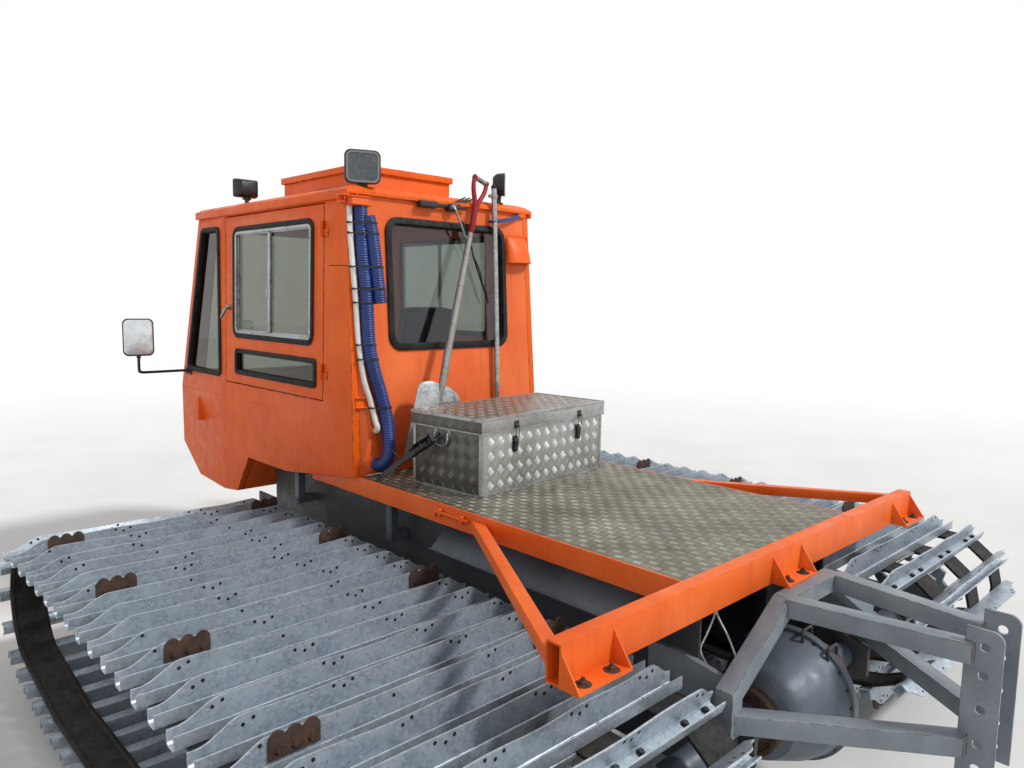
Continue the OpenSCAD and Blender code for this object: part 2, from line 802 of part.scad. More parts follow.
// Panes lie in the middle of the wall
module door_glass() {
  intersection() {
    union() {
      across(0, cab_half + 100) window_cut([for (k = [0:3]) door_window[k] + (k < 2 ? seat : -seat)], 45);
      across(0, cab_half + 100) window_cut([for (k = [0:3]) strip_window[k] + (k < 2 ? seat : -seat)], 8);
    }
    side_slab((wall - glass_t) / 2, (wall + glass_t) / 2);
  }
}

module door_glass_left() {
  color("lightcyan", 0.5) door_glass();
}

module door_glass_right() {
  color("lightcyan", 0.5) mirror([0, 1, 0]) door_glass();
}

module quarter_windows() {
  color("lightcyan", 0.5) both_sides() intersection() {
    across(0, cab_half + 100) polygon(inset(quarter_outline, seat));
    side_slab((wall - glass_t) / 2, (wall + glass_t) / 2);
  }
}

rear_window_w = 776;
rear_window_h = 630;
rear_window_z = 1967;
rear_window_y = -8;
shield_margin = 80;

module cab_rear_wall() {
  color("orangered") {
    difference() {
      cab_strip(rear_wall_i);
      on_rear_wall(rear_window_y, rear_window_z) translate([0, 0, -wall]) linear_extrude(3 * wall)
        rounded_rect(rear_window_w, rear_window_h, 50);
    }
    on_rear_wall(hose_box_y, hose_box_z) translate([0, 0, -hose_box[2]]) linear_extrude(hose_box[2] - seat)
      square([hose_box[0], hose_box[1]], center = true);
    wall_collar(vent_inlet, vent_r + 12, vent_collar_t);
    wall_collar(conduit_inlet, conduit_r + 7, conduit_collar_t);
  }
}

// Round collar that stands t proud of the rear wall at a place [across, height] and is let into it
module wall_collar(place, r, t) {
  let_in = 2;
  on_rear_wall(place[0], place[1]) translate([0, 0, -t]) cylinder(r = r, h = t + let_in);
}

// Puts its children on the rear wall's outer face: X across, Y up the wall, Z forward into it
module on_rear_wall(y, z) {
  on_panel(cab_rear_foot, cab_rear_top) translate([y, (z - cab_rear_foot[1]) / cos(rear_lean), 0]) children();
}
rear_lean = atan2(cab_rear_top[0] - cab_rear_foot[0], cab_rear_top[1] - cab_rear_foot[1]);

// Point a distance out of the rear wall at a place [across, height]
function off_rear_wall(place, out) = [
  cab_rear_foot[0] + (place[1] - cab_rear_foot[1]) * tan(rear_lean) - out * cos(rear_lean),
  place[0],
  place[1] + out * sin(rear_lean)
];

module rear_window() {
  color("lightcyan", 0.5) on_rear_wall(rear_window_y, rear_window_z) translate([0, 0, (wall - glass_t) / 2])
    linear_extrude(glass_t) rounded_rect(rear_window_w - 2 * seat, rear_window_h - 2 * seat, 50);
}

shield_len = norm(cab_front_top - cab_brow);
shield_w = 2 * (side_y(cab_front_top[1]) - wall - shield_margin);

module cab_front() {
  color("orangered") {
    cab_strip(front_i);
    difference() {
      cab_strip(shield_i);
      on_panel(cab_brow, cab_front_top) translate([0, shield_len / 2, -2 * wall])
        linear_extrude(3 * wall) rounded_rect(shield_w, shield_len - 2 * shield_margin, 60);
    }
  }
}

module windshield() {
  color("lightcyan", 0.5) on_panel(cab_brow, cab_front_top)
    translate([0, shield_len / 2, -(wall + glass_t) / 2])
    linear_extrude(glass_t) rounded_rect(shield_w - 2 * seat, shield_len - 2 * shield_margin - 2 * seat, 60);
}

// Roof: inner panel, and a cap whose lips hang outside the side walls
lip = 14;
lip_drop = 22;
roof_rear = 310;
roof_top = roof_z + roof_t;
roof_bevel = 30;
// Hatch: opening in the roof with a coaming round it. Its lid is hinged along the front edge.
hatch_x0 = 430;
hatch_x1 = 1190;
hatch_y0 = -100;
hatch_y1 = 500;
hatch_wall = 20;
coaming_h = 110;
hatch_lip_t = 8;
hatch_skin = 8;
hatch_reach = lid_clear + hatch_lip_t + barrel_out;
hatch_hinge_x = hatch_x1 + hatch_reach;
hatch_hinge_z = roof_top + coaming_h + seat - lid_drop;
hatch_hinge_places = [hatch_y0 + 110, hatch_y1 - 110];

module cab_roof() {
  y = side_y(roof_z - lip_drop) + seat;
  yl = y + lip;
  bite = 4;
  color("orangered") {
    difference() {
      union() {
        cab_strip(roof_i);
        intersection() {
          along(0, 2600) polygon([
            [yl, roof_z - lip_drop], [yl, roof_top - 26], [yl - 30, roof_top - 6], [yl - 80, roof_top],
            [-yl + 80, roof_top], [-yl + 30, roof_top - 6], [-yl, roof_top - 26], [-yl, roof_z - lip_drop],
            [-y, roof_z - lip_drop], [-y, roof_z], [y, roof_z], [y, roof_z - lip_drop]
          ]);
          across(-cab_half, cab_half) polygon([
            [roof_rear, roof_z - 40], [roof_rear, roof_top - roof_bevel], [roof_rear + 35, roof_top],
            [cab_front_top[0] - 25, roof_top], [cab_front_top[0] + 25, roof_top - roof_bevel],
            [cab_front_top[0] + 25, roof_z - 40]
          ]);
        }
        translate([hatch_x0, hatch_y0, roof_top - bite])
          cube([hatch_x1 - hatch_x0, hatch_y1 - hatch_y0, coaming_h + bite]);
      }
      translate([hatch_x0 + hatch_wall, hatch_y0 + hatch_wall, roof_z - 200])
        cube([hatch_x1 - hatch_x0 - 2 * hatch_wall, hatch_y1 - hatch_y0 - 2 * hatch_wall, 500]);
    }
    translate([hatch_hinge_x, 0, hatch_hinge_z]) for (y = hatch_hinge_places) rim_barrel(y, hatch_reach);
  }
}

module roof_hatch() {
  color("orangered") {
    lid_tray([hatch_x0, hatch_y0], [hatch_x1, hatch_y1], roof_top + coaming_h + seat, hatch_lip_t, hatch_skin);
    translate([hatch_hinge_x, 0, hatch_hinge_z]) for (y = hatch_hinge_places) lid_barrel(y);
  }
}

// Tray turned over a rim whose corners are low and high, with the tray's inner face at height z
module lid_tray(low, high, z, lip_t, skin) {
  out = lid_clear + lip_t;
  difference() {
    translate([low[0] - out, low[1] - out, z - lid_drop])
      cube([high[0] - low[0] + 2 * out, high[1] - low[1] + 2 * out, lid_drop + skin]);
    translate([low[0] - lid_clear, low[1] - lid_clear, z - lid_drop - 1])
      cube([high[0] - low[0] + 2 * lid_clear, high[1] - low[1] + 2 * lid_clear, lid_drop + 1]);
  }
}

// Hinge barrel of a rim, on an arm that passes under the lid's lip from reach behind the axis
module rim_barrel(y, reach) {
  across(y - barrel_len - 1, y - 1) {
    circle(barrel_r);
    polygon([[-reach, -34], [-reach, -10], [0, 2 - barrel_r], [barrel_r - 1, -3]]);
  }
}

// Hinge barrel of a lid, on a strap from the lip's front face
module lid_barrel(y) {
  across(y + 1, y + barrel_len + 1) {
    circle(barrel_r);
    polygon([[-barrel_out - 1, 0], [-barrel_out - 1, 20], [0, barrel_r - 1], [0, 1 - barrel_r]]);
  }
}

// Interior

// Room inside the cab's floor, front, roof and walls, seat clear of them all
module inside_cab() {
  intersection() {
    across(-cab_half, cab_half) polygon(inset(cab_outline, wall + seat));
    between_sides(seat);
  }
}

module seats() {
  base = [460, 400, 231];
  cushion = [520, 420, 100];
  back = [90, 400, 580];
  back_lean = 8;
  into_cushion = 30;
  x = 900;
  y = 90;
  floor_z = chassis_top + wall;
  cushion_z = floor_z + base[2] - 1;
  color("dimgray") both_sides() {
    intersection() {
      translate([x, y, floor_z]) cube(base);
      inside_cab();
    }
    translate([x - 20, y - 10, cushion_z]) cube(cushion);
    translate([x - 10, y, cushion_z + cushion[2] - into_cushion]) rotate([0, -back_lean, 0]) cube(back);
  }
}

// Dashboard across the nose and a low pedestal between the footwells
module console() {
  dash = [2040, 1010];
  dash_h = 210;
  pedestal = [1610, 1900];
  color("dimgray") intersection() {
    union() {
      across(-420, 420) polygon([
        dash, dash + [60, dash_h], [cab_brow[0], dash[1] + dash_h + 30], [cab_brow[0], dash[1] - 40]
      ]);
      across(-70, 70) polygon([
        [pedestal[0], 600], [pedestal[0], 1010], [pedestal[0] + 140, 1100], [dash[0] + 80, dash[1] + 100],
        [dash[0] + 80, dash[1]], [pedestal[1], 900], [pedestal[1], 600]
      ]);
    }
    inside_cab();
  }
}

// Toolbox

module at_toolbox() {
  translate([box_x, box_y, deck_z]) rotate(box_turn) children();
}

box_rim_z = box_h - box_lid_h;
box_reach = lid_clear + box_t + barrel_out;
box_hinge_places = [-box_len / 2 + 150, box_len / 2 - 150];

module toolbox_body() {
  color("silver") at_toolbox() {
    difference() {
      translate([-box_w / 2, -box_len / 2, 0]) cube([box_w, box_len, box_rim_z]);
      translate([-box_w / 2 + box_t, -box_len / 2 + box_t, box_t])
        cube([box_w - 2 * box_t, box_len - 2 * box_t, box_rim_z]);
    }
    at_box_hinge() for (y = box_hinge_places) rim_barrel(y, box_reach);
  }
}

// Lid: a hollow tray turned over the box
module toolbox_lid() {
  color("silver") at_toolbox() {
    difference() {
      lid_tray(-[box_w, box_len] / 2, [box_w, box_len] / 2, box_rim_z + seat, box_t, box_lid_h - seat);
      translate([-box_w / 2 + box_t, -box_len / 2 + box_t, box_rim_z - lid_drop])
        cube([box_w - 2 * box_t, box_len - 2 * box_t, box_lid_h + lid_drop - box_t]);
    }
    at_box_hinge() for (y = box_hinge_places) lid_barrel(y);
  }
}

module at_box_hinge() {
  translate([box_w / 2 + box_reach, 0, box_rim_z + seat - lid_drop]) children();
}

// Point where a round shaft of radius r touches the roof's rear edge
function roof_rest(y, r) = [roof_rear - seat - 1.02 * r, y, roof_top - roof_bevel];

// Shovel leaning on the roof's rear edge, one corner of its blade on the deck
shovel_r = 17;
shovel_foot = [84, 330, deck_z];
shovel_way = unit(roof_rest(-180, shovel_r) - shovel_foot);
shovel_blade = [8, 290, 420];
shovel_shaft = 1510;

module shovel() {
  lift = (shovel_blade[1] / 2 * abs(shovel_way[1]) + shovel_blade[0] / 2 * abs(shovel_way[0]) + seat) / shovel_way[2];
  grip = 150;
  grip_half = 45;
  grip_over = 10;
  color("gray") on_way(shovel_foot, shovel_way) {
    translate([-shovel_blade[0] / 2, -shovel_blade[1] / 2, lift]) cube(shovel_blade);
    round_tube([0, 0, lift + shovel_blade[2] - 80], [0, 0, shovel_shaft], shovel_r);
    for (y = [-grip_half, grip_half]) round_tube([0, 0, shovel_shaft - 12], [0, y, shovel_shaft + grip], 10);
    bar_end = [0, grip_half + grip_over, 0];
    bar_middle = [0, 0, shovel_shaft + grip];
    round_tube(bar_middle - bar_end, bar_middle + bar_end, 14);
  }
}

// Turns the children's Z axis to the direction u by the shortest turn
module on_way(place, u) {
  turn = atan2(u[1], u[0]);
  translate(place) rotate([0, acos(u[2]), turn]) rotate(-turn) children();
}

// Pole leaning on the roof's rear edge
pole_r = 16;
pole_foot = [215, -305, deck_z];
pole_way = unit(roof_rest(-318, pole_r) - pole_foot);
pole_len = 1532;

module grab_pole() {
  color("lightgray") on_way(pole_foot, pole_way)
    translate([0, 0, pole_r * norm([pole_way[0], pole_way[1]]) + seat]) cylinder(r = pole_r, h = pole_len);
}

// Hose and conduit down the cab's rear left corner, from a box under the roof to collars on the wall.
// Columns of the routes: place along the machine, distance inside the cab's half width, height
hose_box = [100, 34, 70];
hose_box_y = cab_half - 62;
hose_box_z = 2357;
vent_r = 35;
vent_collar_t = 14;
vent_inlet = [cab_half - 128, 1058];
vent_route = concat(inside_corner([
  [291, 77, 2341], [287, 77, 2290], [281, 78, 2200], [273, 82, 2080], [263, 90, 1933], [254, 92, 1786],
  [246, 96, 1663], [238, 118, 1538], [228, 154, 1411], [212, 178, 1284], [188, 172, 1190], [169, 160, 1128],
  [169, 142, 1088]
]), [off_rear_wall(vent_inlet, vent_collar_t + vent_r), off_rear_wall(vent_inlet, vent_collar_t + seat)]);
module vent_hose() {
  color("royalblue") sweep(vent_route, vent_r, 12);
}

conduit_r = 14;
conduit_collar_t = 10;
conduit_inlet = [cab_half - 129, 1230];
conduit_route = concat(inside_corner([
  [311, 29, 2340], [303, 29, 2213], [293, 35, 2060], [282, 43, 1890], [269, 49, 1690], [256, 70, 1500],
  [246, 96, 1400], [240, 112, 1335], [229, 121, 1280], [220, 126, 1252]
]), [off_rear_wall(conduit_inlet, 2 * conduit_collar_t + 8), off_rear_wall(conduit_inlet, conduit_collar_t + seat)]);
module conduit() {
  color("white") sweep(conduit_route, conduit_r, 8);
}
function inside_corner(route) = [for (p = route) [p[0], cab_half - p[1], p[2]]];

// Round tube along a route, with a ring of corners at each point
module sweep(route, r, sides) {
  last = len(route) - 1;
  rings = [for (i = [0:last])
    let (
      d = unit(route[min(i + 1, last)] - route[max(i - 1, 0)]),
      u = unit(cross(d, [1, 0, 0])),
      v = cross(d, u)
    )
    for (k = [0:sides - 1]) route[i] + r * (u * cos(360 * k / sides) + v * sin(360 * k / sides))
  ];
  walls = [for (i = [0:last - 1], k = [0:sides - 1])
    [i * sides + k, i * sides + (k + 1) % sides, (i + 1) * sides + (k + 1) % sides, (i + 1) * sides + k]];
  foot = [for (k = [sides - 1:-1:0]) k];
  head = [for (k = [0:sides - 1]) last * sides + k];
  polyhedron(rings, concat(walls, [foot, head]));
}

// Roof lamps. Columns: place along the machine, place across, height of the middle, turn, width, height
lamps = [
  [360, 525, 2540, 180, 158, 158], [362, -372, 2562, 180, 112, 112],
  [2040, 480, 2520, 0, 150, 110], [2040, -480, 2520, 0, 150, 110]
];
module work_lamps() {
  depth = 70;
  foot_r = 26;
  foot_t = 8;
  color("black") for (l = lamps) translate([l[0], l[1], l[2]]) rotate(l[3]) {
    translate([-depth / 2, -l[4] / 2, -l[5] / 2]) cube([depth, l[4], l[5]]);
    translate([0, 0, roof_top - l[2]]) cylinder(r = 10, h = l[2] - roof_top);
    translate([0, 0, roof_top - l[2]]) cylinder(r = foot_r, h = foot_t);
  }
}

// Mirrors on arms from foot plates on the side walls
mirror_x = 2310;
mirror_y = 965;
mirror_head = [40, 185, 243];
mirror_z = 1490;
module mirrors() {
  arm_z = 1380;
  arm_r = 9;
  plate = [90, 60, 8];
  color("black") both_sides() {
    intersection() {
      across(0, cab_half + 100) translate([mirror_x, arm_z]) square([plate[0], plate[1]], center = true);
      side_slab(-plate[2], 0);
    }
    round_tube([mirror_x, side_y(arm_z) + plate[2] - 2, arm_z], [mirror_x, mirror_y, arm_z], arm_r);
    round_tube([mirror_x, mirror_y, arm_z - arm_r], [mirror_x, mirror_y, mirror_z + 20], arm_r + 1);
    translate([mirror_x, mirror_y, mirror_z]) rotate(12)
      translate([-mirror_head[0] / 2, -mirror_head[1] / 2, 0]) cube(mirror_head);
  }
}

chassis();
engine_block();
front_mount();
road_axles();
rear_axle();
track_left();
track_right();
road_wheels_left();
road_wheels_right();
idler_left();
idler_right();
sprocket_left();
sprocket_right();
deck_frame();
deck_plate();
deck_plate_front();
hitch_frame();
cab_floor();
cab_side_left();
cab_side_right();
cab_rear_wall();
cab_front();
cab_roof();
roof_hatch();
door_left();
door_right();
windshield();
rear_window();
quarter_windows();
door_glass_left();
door_glass_right();
seats();
console();
toolbox_body();
toolbox_lid();
shovel();
grab_pole();
vent_hose();
conduit();
work_lamps();
mirrors();
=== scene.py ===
"""Tracked snow groomer: finish, tracks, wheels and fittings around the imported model. Metres."""
import json
import math
import random
import bmesh
import bpy
from mathutils import Matrix, Vector

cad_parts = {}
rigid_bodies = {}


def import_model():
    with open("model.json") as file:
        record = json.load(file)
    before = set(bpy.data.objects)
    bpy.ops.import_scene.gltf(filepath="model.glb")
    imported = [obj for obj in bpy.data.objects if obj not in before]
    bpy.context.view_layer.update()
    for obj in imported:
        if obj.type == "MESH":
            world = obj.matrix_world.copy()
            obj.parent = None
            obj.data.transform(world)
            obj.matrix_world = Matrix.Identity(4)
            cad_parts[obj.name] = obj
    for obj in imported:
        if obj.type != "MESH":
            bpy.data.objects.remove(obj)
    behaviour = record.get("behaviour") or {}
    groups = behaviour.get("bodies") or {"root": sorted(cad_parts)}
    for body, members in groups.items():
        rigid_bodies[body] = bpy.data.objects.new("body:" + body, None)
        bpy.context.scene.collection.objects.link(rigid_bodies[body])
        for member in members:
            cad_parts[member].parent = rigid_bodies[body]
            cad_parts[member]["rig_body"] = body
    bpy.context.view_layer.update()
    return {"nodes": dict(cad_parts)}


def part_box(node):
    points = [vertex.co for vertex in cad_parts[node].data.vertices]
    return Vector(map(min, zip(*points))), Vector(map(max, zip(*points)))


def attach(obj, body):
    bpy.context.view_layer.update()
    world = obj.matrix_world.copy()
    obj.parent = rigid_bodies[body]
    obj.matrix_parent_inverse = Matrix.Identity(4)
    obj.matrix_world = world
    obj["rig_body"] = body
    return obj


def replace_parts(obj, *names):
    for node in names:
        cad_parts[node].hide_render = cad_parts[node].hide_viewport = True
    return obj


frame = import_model()
nodes = frame["nodes"]

# Real sizes shared with the solids
SIDE_LEAN = math.radians(1.2)
CAB_HALF = 0.648
DECK_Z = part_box("deck_plate")[1].z
ROOF_Z = 2.400
ROOF_TOP = 2.446
SEAT = 0.0003
HANDS = ((1, "left"), (-1, "right"))


# Places and paths

def at(x=0.0, y=0.0, z=0.0):
    return Matrix.Translation((x, y, z))


def spun(angle, axis):
    return Matrix.Rotation(angle, 4, axis)


def facing(origin, z, x=(1, 0, 0)):
    """Matrix at origin whose Z runs along z and whose X lies towards x."""
    z = Vector(z).normalized()
    x = Vector(x)
    x = (x - z * x.dot(z)).normalized()
    m = Matrix((x, z.cross(x), z)).transposed().to_4x4()
    m.translation = Vector(origin)
    return m


def circle(sides):
    """Points of a circle of radius 1."""
    turns = [math.tau * k / sides for k in range(sides)]
    return [(math.cos(t), math.sin(t)) for t in turns]


def round_corners(points, r, steps=6):
    """Points and outward normals round an anticlockwise polygon, its corners rounded to radius r."""
    points = [Vector(p) for p in points]
    out = []
    for i, p in enumerate(points):
        a = (p - points[i - 1]).normalized()
        b = (points[(i + 1) % len(points)] - p).normalized()
        n, m = Vector((a.y, -a.x)), Vector((b.y, -b.x))
        turn = math.atan2(a.x * b.y - a.y * b.x, a.dot(b))
        centre = p - (n + m) * r / (1 + n.dot(m))
        for k in range(steps + 1):
            t = math.atan2(n.y, n.x) + turn * k / steps
            way = Vector((math.cos(t), math.sin(t)))
            out.append((centre + way * r, way))
    return out


def rounded(w, h, r, corner=6):
    """Points and outward normals round a rectangle with round corners."""
    x, y = w / 2, h / 2
    return round_corners([(-x, -y), (x, -y), (x, y), (-x, y)], r, corner)


def outline(w, h, r, corner=6):
    """Points of a rectangle with round corners."""
    return [tuple(p) for p, _ in rounded(w, h, r, corner)]


def smooth_path(points, steps=8):
    """Catmull-Rom curve through points."""
    points = [Vector(p) for p in points]
    path = []
    for i in range(len(points) - 1):
        a, b = points[i], points[i + 1]
        before = points[i - 1] if i else a * 2 - b
        after = points[i + 2] if i + 2 < len(points) else b * 2 - a
        for t in [k / steps for k in range(steps)]:
            path.append(0.5 * (2 * a + (b - before) * t + (2 * before - 5 * a + 4 * b - after) * t * t
                               + (3 * a - 3 * b + after - before) * t ** 3))
    return path + [points[-1]]


# Meshes

class Shape:
    """Collects the vertices and faces of one piece. Each face has the number of its material."""

    def __init__(self):
        self.verts, self.faces, self.kinds = [], [], []

    def add(self, verts, faces, kind=0):
        base = len(self.verts)
        self.verts += [tuple(v) for v in verts]
        self.faces += [tuple(base + i for i in f) for f in faces]
        self.kinds += [kind] * len(faces)

    def loft(self, rings, kind=0, caps=True, closed=False):
        """Skin over rings of equal length. closed joins the last ring to the first."""
        count = len(rings[0])
        faces = []
        for i in range(len(rings) - (not closed)):
            a, b = i * count, (i + 1) % len(rings) * count
            faces += [(a + k, a + (k + 1) % count, b + (k + 1) % count, b + k) for k in range(count)]
        if caps and not closed:
            faces += [tuple(range(count - 1, -1, -1)), tuple((len(rings) - 1) * count + k for k in range(count))]
        self.add([p for ring in rings for p in ring], faces, kind)

    def rise(self, m, flat, steps, kind=0, caps=True):
        """Skin over an outline in the matrix's XY plane, times k at height h for each (k, h) of steps."""
        self.loft([[m @ Vector((k * x, k * y, h)) for x, y in flat] for k, h in steps], kind, caps)

    def lathe(self, m, profile, kind=0, sides=32, caps=True):
        """Turns a profile of (radius, height) round the matrix's Z axis."""
        self.rise(m, circle(sides), profile, kind, caps)

    def block(self, m, size, edge=0.003):
        """Block round the matrix's origin with its edges chamfered."""
        x, y, z = (s / 2 for s in size)
        e = min(edge, x * 0.9, y * 0.9, z * 0.9)

        def ring(a, b, h):
            c = min(e, a * 0.7, b * 0.7)
            corners = [(a, b - c), (a - c, b), (c - a, b), (-a, b - c), (-a, c - b), (c - a, -b), (a - c, -b),
                       (a, c - b)]
            return [m @ Vector((p, q, h)) for p, q in corners]
        self.loft([ring(x - e, y - e, -z), ring(x, y, e - z), ring(x, y, z - e), ring(x - e, y - e, z)])

    def tube(self, path, radius, sides=12, caps=True):
        """Tube along a path. radius is one number, or a function of the place along it from 0 to 1."""
        path = [Vector(p) for p in path]
        last = len(path) - 1
        ways = [(path[min(i + 1, last)] - path[max(i - 1, 0)]).normalized() for i in range(last + 1)]
        side = ways[0].orthogonal().normalized()
        rings = []
        for i, (p, way) in enumerate(zip(path, ways)):
            side = (side - way * side.dot(way)).normalized()
            up = way.cross(side)
            r = radius(i / last) if callable(radius) else radius
            rings.append([p + (side * x + up * y) * r for x, y in circle(sides)])
        self.loft(rings, caps=caps)

    def wire(self, points, radius, steps=5, sides=8, m=Matrix.Identity(4)):
        """Tube along the smooth curve through points in the matrix's axes."""
        self.tube(smooth_path([m @ Vector(p) for p in points], steps), radius, sides)

    def ring(self, m, path, profile):
        """Closed trim along a path of (point, outward normal). The profile is (outward offset, height)."""
        self.loft([[m @ Vector((p[0] + o * n[0], p[1] + o * n[1], z)) for o, z in profile] for p, n in path],
                  closed=True)

    def bolt(self, m, r=0.010, h=0.008, kind=0):
        """Hexagonal head on a washer."""
        self.lathe(m, [(r * 1.35, 0), (r * 1.35, h * 0.2)], kind, 12)
        self.lathe(m, [(r, h * 0.2), (r, h * 0.85), (r * 0.86, h)], kind, 6)

    def bolts(self, m, places, r, h, kind=0):
        for place in places:
            self.bolt(m @ at(*place), r, h, kind)

    def bolt_circle(self, m, radius, z, count, r, h, kind=0, start=0.0):
        """Bolts on a circle round the matrix's Z axis, the first one start steps round from its X axis."""
        turns = [math.tau * (k + start) / count for k in range(count)]
        self.bolts(m, [(radius * math.cos(t), radius * math.sin(t), z) for t in turns], r, h, kind)

    def piece(self, name, *materials, body="root", smooth=35, slot=None):
        mesh = bpy.data.meshes.new(name)
        mesh.from_pydata(self.verts, [], self.faces)
        mesh.polygons.foreach_set("material_index", self.kinds)
        return finished(mesh, name, materials, body, smooth)


def finished(mesh, name, materials, body, smooth):
    """Makes a piece of a mesh: outward normals, edges sharper than smooth degrees kept, and its body."""
    shape = bmesh.new()
    shape.from_mesh(mesh)
    bmesh.ops.recalc_face_normals(shape, faces=shape.faces)
    shape.to_mesh(mesh)
    shape.free()
    for material in materials:
        mesh.materials.append(material)
    mesh.polygons.foreach_set("use_smooth", [True] * len(mesh.polygons))
    mesh.set_sharp_from_angle(angle=math.radians(smooth))
    piece = bpy.data.objects.new(name, mesh)
    bpy.context.scene.collection.objects.link(piece)
    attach(piece, body)
    return piece


MOST_FOLDED = 0.0004
SHARP = math.radians(28)


def bevel_mesh(node, width, kind_of):
    """Mesh of a node with its flat faces joined and its sharp edges rounded to width.

    The rounded faces carry the attribute edge, which is where paint wears off.
    """
    shape = bmesh.new()
    shape.from_mesh(nodes[node].data)
    bmesh.ops.remove_doubles(shape, verts=shape.verts, dist=0.00002)
    bmesh.ops.dissolve_limit(shape, angle_limit=math.radians(0.5), verts=shape.verts, edges=shape.edges)
    wanted = [e for e in shape.edges
              if len(e.link_faces) == 2 and e.calc_face_angle(0) > SHARP and e.calc_length() > 2.5 * width]
    made = bmesh.ops.bevel(shape, geom=wanted, offset=width, segments=2, profile=0.6, affect="EDGES",
                           clamp_overlap=False, loop_slide=True)
    edge = shape.loops.layers.float_color.new("edge")
    for face in shape.faces:
        face.material_index = kind_of(face) if kind_of else 0
    for faces, worn in ((shape.faces, 0), (made["faces"], 1)):
        for face in faces:
            for loop in face.loops:
                loop[edge] = (worn, worn, worn, 1)
    mesh = bpy.data.meshes.new(node + "_finish")
    shape.to_mesh(mesh)
    shape.free()
    return mesh


def folded_area(mesh):
    """Area by which the triangles of a mesh's faces overlap each other."""
    mesh.calc_loop_triangles()
    return sum(t.area for t in mesh.loop_triangles) - sum(p.area for p in mesh.polygons)


def bevelled_copy(node, materials, width, kind_of=None):
    """Copy of a rigid node with rounded edges, as wide as its smallest faces let them be."""
    for share in (1, 0.7, 0.5, 0.35, 0.2):
        mesh = bevel_mesh(node, width * share, kind_of)
        if folded_area(mesh) < MOST_FOLDED:
            break
    piece = finished(mesh, node + "_finish", materials, nodes[node]["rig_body"], 35)
    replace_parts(piece, node)


# Materials

def rgb(r, g, b):
    """A colour given as the screen shows it, 0 to 255, in the linear values that shaders take."""
    def linear(c):
        c /= 255
        return c / 12.92 if c <= 0.04045 else ((c + 0.055) / 1.055) ** 2.4
    return (linear(r), linear(g), linear(b), 1)


class Finish:
    """A material, with short names for the nodes that it is built from. A grain is (scale, detail, roughness)."""

    def __init__(self, name, **shader):
        self.material = bpy.data.materials.new(name)
        self.material.use_nodes = True
        self.tree = self.material.node_tree
        self.shader = self.tree.nodes["Principled BSDF"]
        self.place = self.node("ShaderNodeTexCoord").outputs["Object"]
        self.normal = None
        self.give(**shader)

    def node(self, kind, inputs=None, **settings):
        made = self.tree.nodes.new(kind)
        for key, value in settings.items():
            setattr(made, key, value)
        for key, value in (inputs or {}).items():
            self.link(value, made.inputs[key])
        return made

    def link(self, value, socket):
        if isinstance(value, bpy.types.NodeSocket):
            self.tree.links.new(value, socket)
        else:
            socket.default_value = value

    def give(self, **sockets):
        """Sets the shader's own sockets; an underscore stands for a space."""
        for key, value in sockets.items():
            self.link(value, self.shader.inputs[key.replace("_", " ")])

    def noise(self, scale, detail=4.0, rough=0.5, stretch=None, warp=0.0):
        place = self.place
        if stretch:
            place = self.node("ShaderNodeMapping", {"Vector": place, "Scale": stretch}).outputs["Vector"]
        return self.node("ShaderNodeTexNoise", {
            "Vector": place, "Scale": scale, "Detail": detail, "Roughness": rough, "Distortion": warp
        }).outputs["Fac"]

    def cells(self, scale, output="Distance"):
        return self.node("ShaderNodeTexVoronoi", {"Vector": self.place, "Scale": scale}).outputs[output]

    def between(self, value, low, high, to_low=0.0, to_high=1.0):
        """Maps low to high onto to_low to to_high, and clamps."""
        return self.node("ShaderNodeMapRange", {
            "Value": value, "From Min": low, "From Max": high, "To Min": to_low, "To Max": to_high
        }).outputs["Result"]

    def cloud(self, grain, low, high, to_low=0.0, to_high=1.0, **more):
        return self.between(self.noise(*grain, **more), low, high, to_low, to_high)

    def uneven(self, grain, low, high):
        """A value that wanders from low to high."""
        return self.cloud(grain, 0.3, 0.7, low, high)

    def mix(self, share, a, b):
        made = self.node("ShaderNodeMix", {"Factor": share, 6: a, 7: b}, data_type="RGBA")
        return made.outputs[2]

    def stain(self, under, over, grain, low, high, share=1.0, **more):
        """The colour under, with clouds of the colour over."""
        return self.mix(self.cloud(grain, low, high, 0, share, **more), under, over)

    def times(self, a, b, operation="MULTIPLY"):
        return self.node("ShaderNodeMath", {0: a, 1: b}, operation=operation).outputs[0]

    def most(self, a, b):
        return self.times(a, b, "MAXIMUM")

    def edge(self):
        """1 on the rounded edges of a bevelled copy."""
        return self.node("ShaderNodeAttribute", attribute_name="edge").outputs["Fac"]

    def bump(self, height, strength, depth):
        inputs = {"Height": height, "Strength": strength, "Distance": depth}
        if self.normal:
            inputs["Normal"] = self.normal
        self.normal = self.node("ShaderNodeBump", inputs).outputs["Normal"]
        self.give(Normal=self.normal)

    def bumps(self, *grains):
        """Bumps of noise, each given as (scale, detail, strength, depth)."""
        for scale, detail, strength, depth in grains:
            self.bump(self.noise(scale, detail), strength, depth)
        return self.material


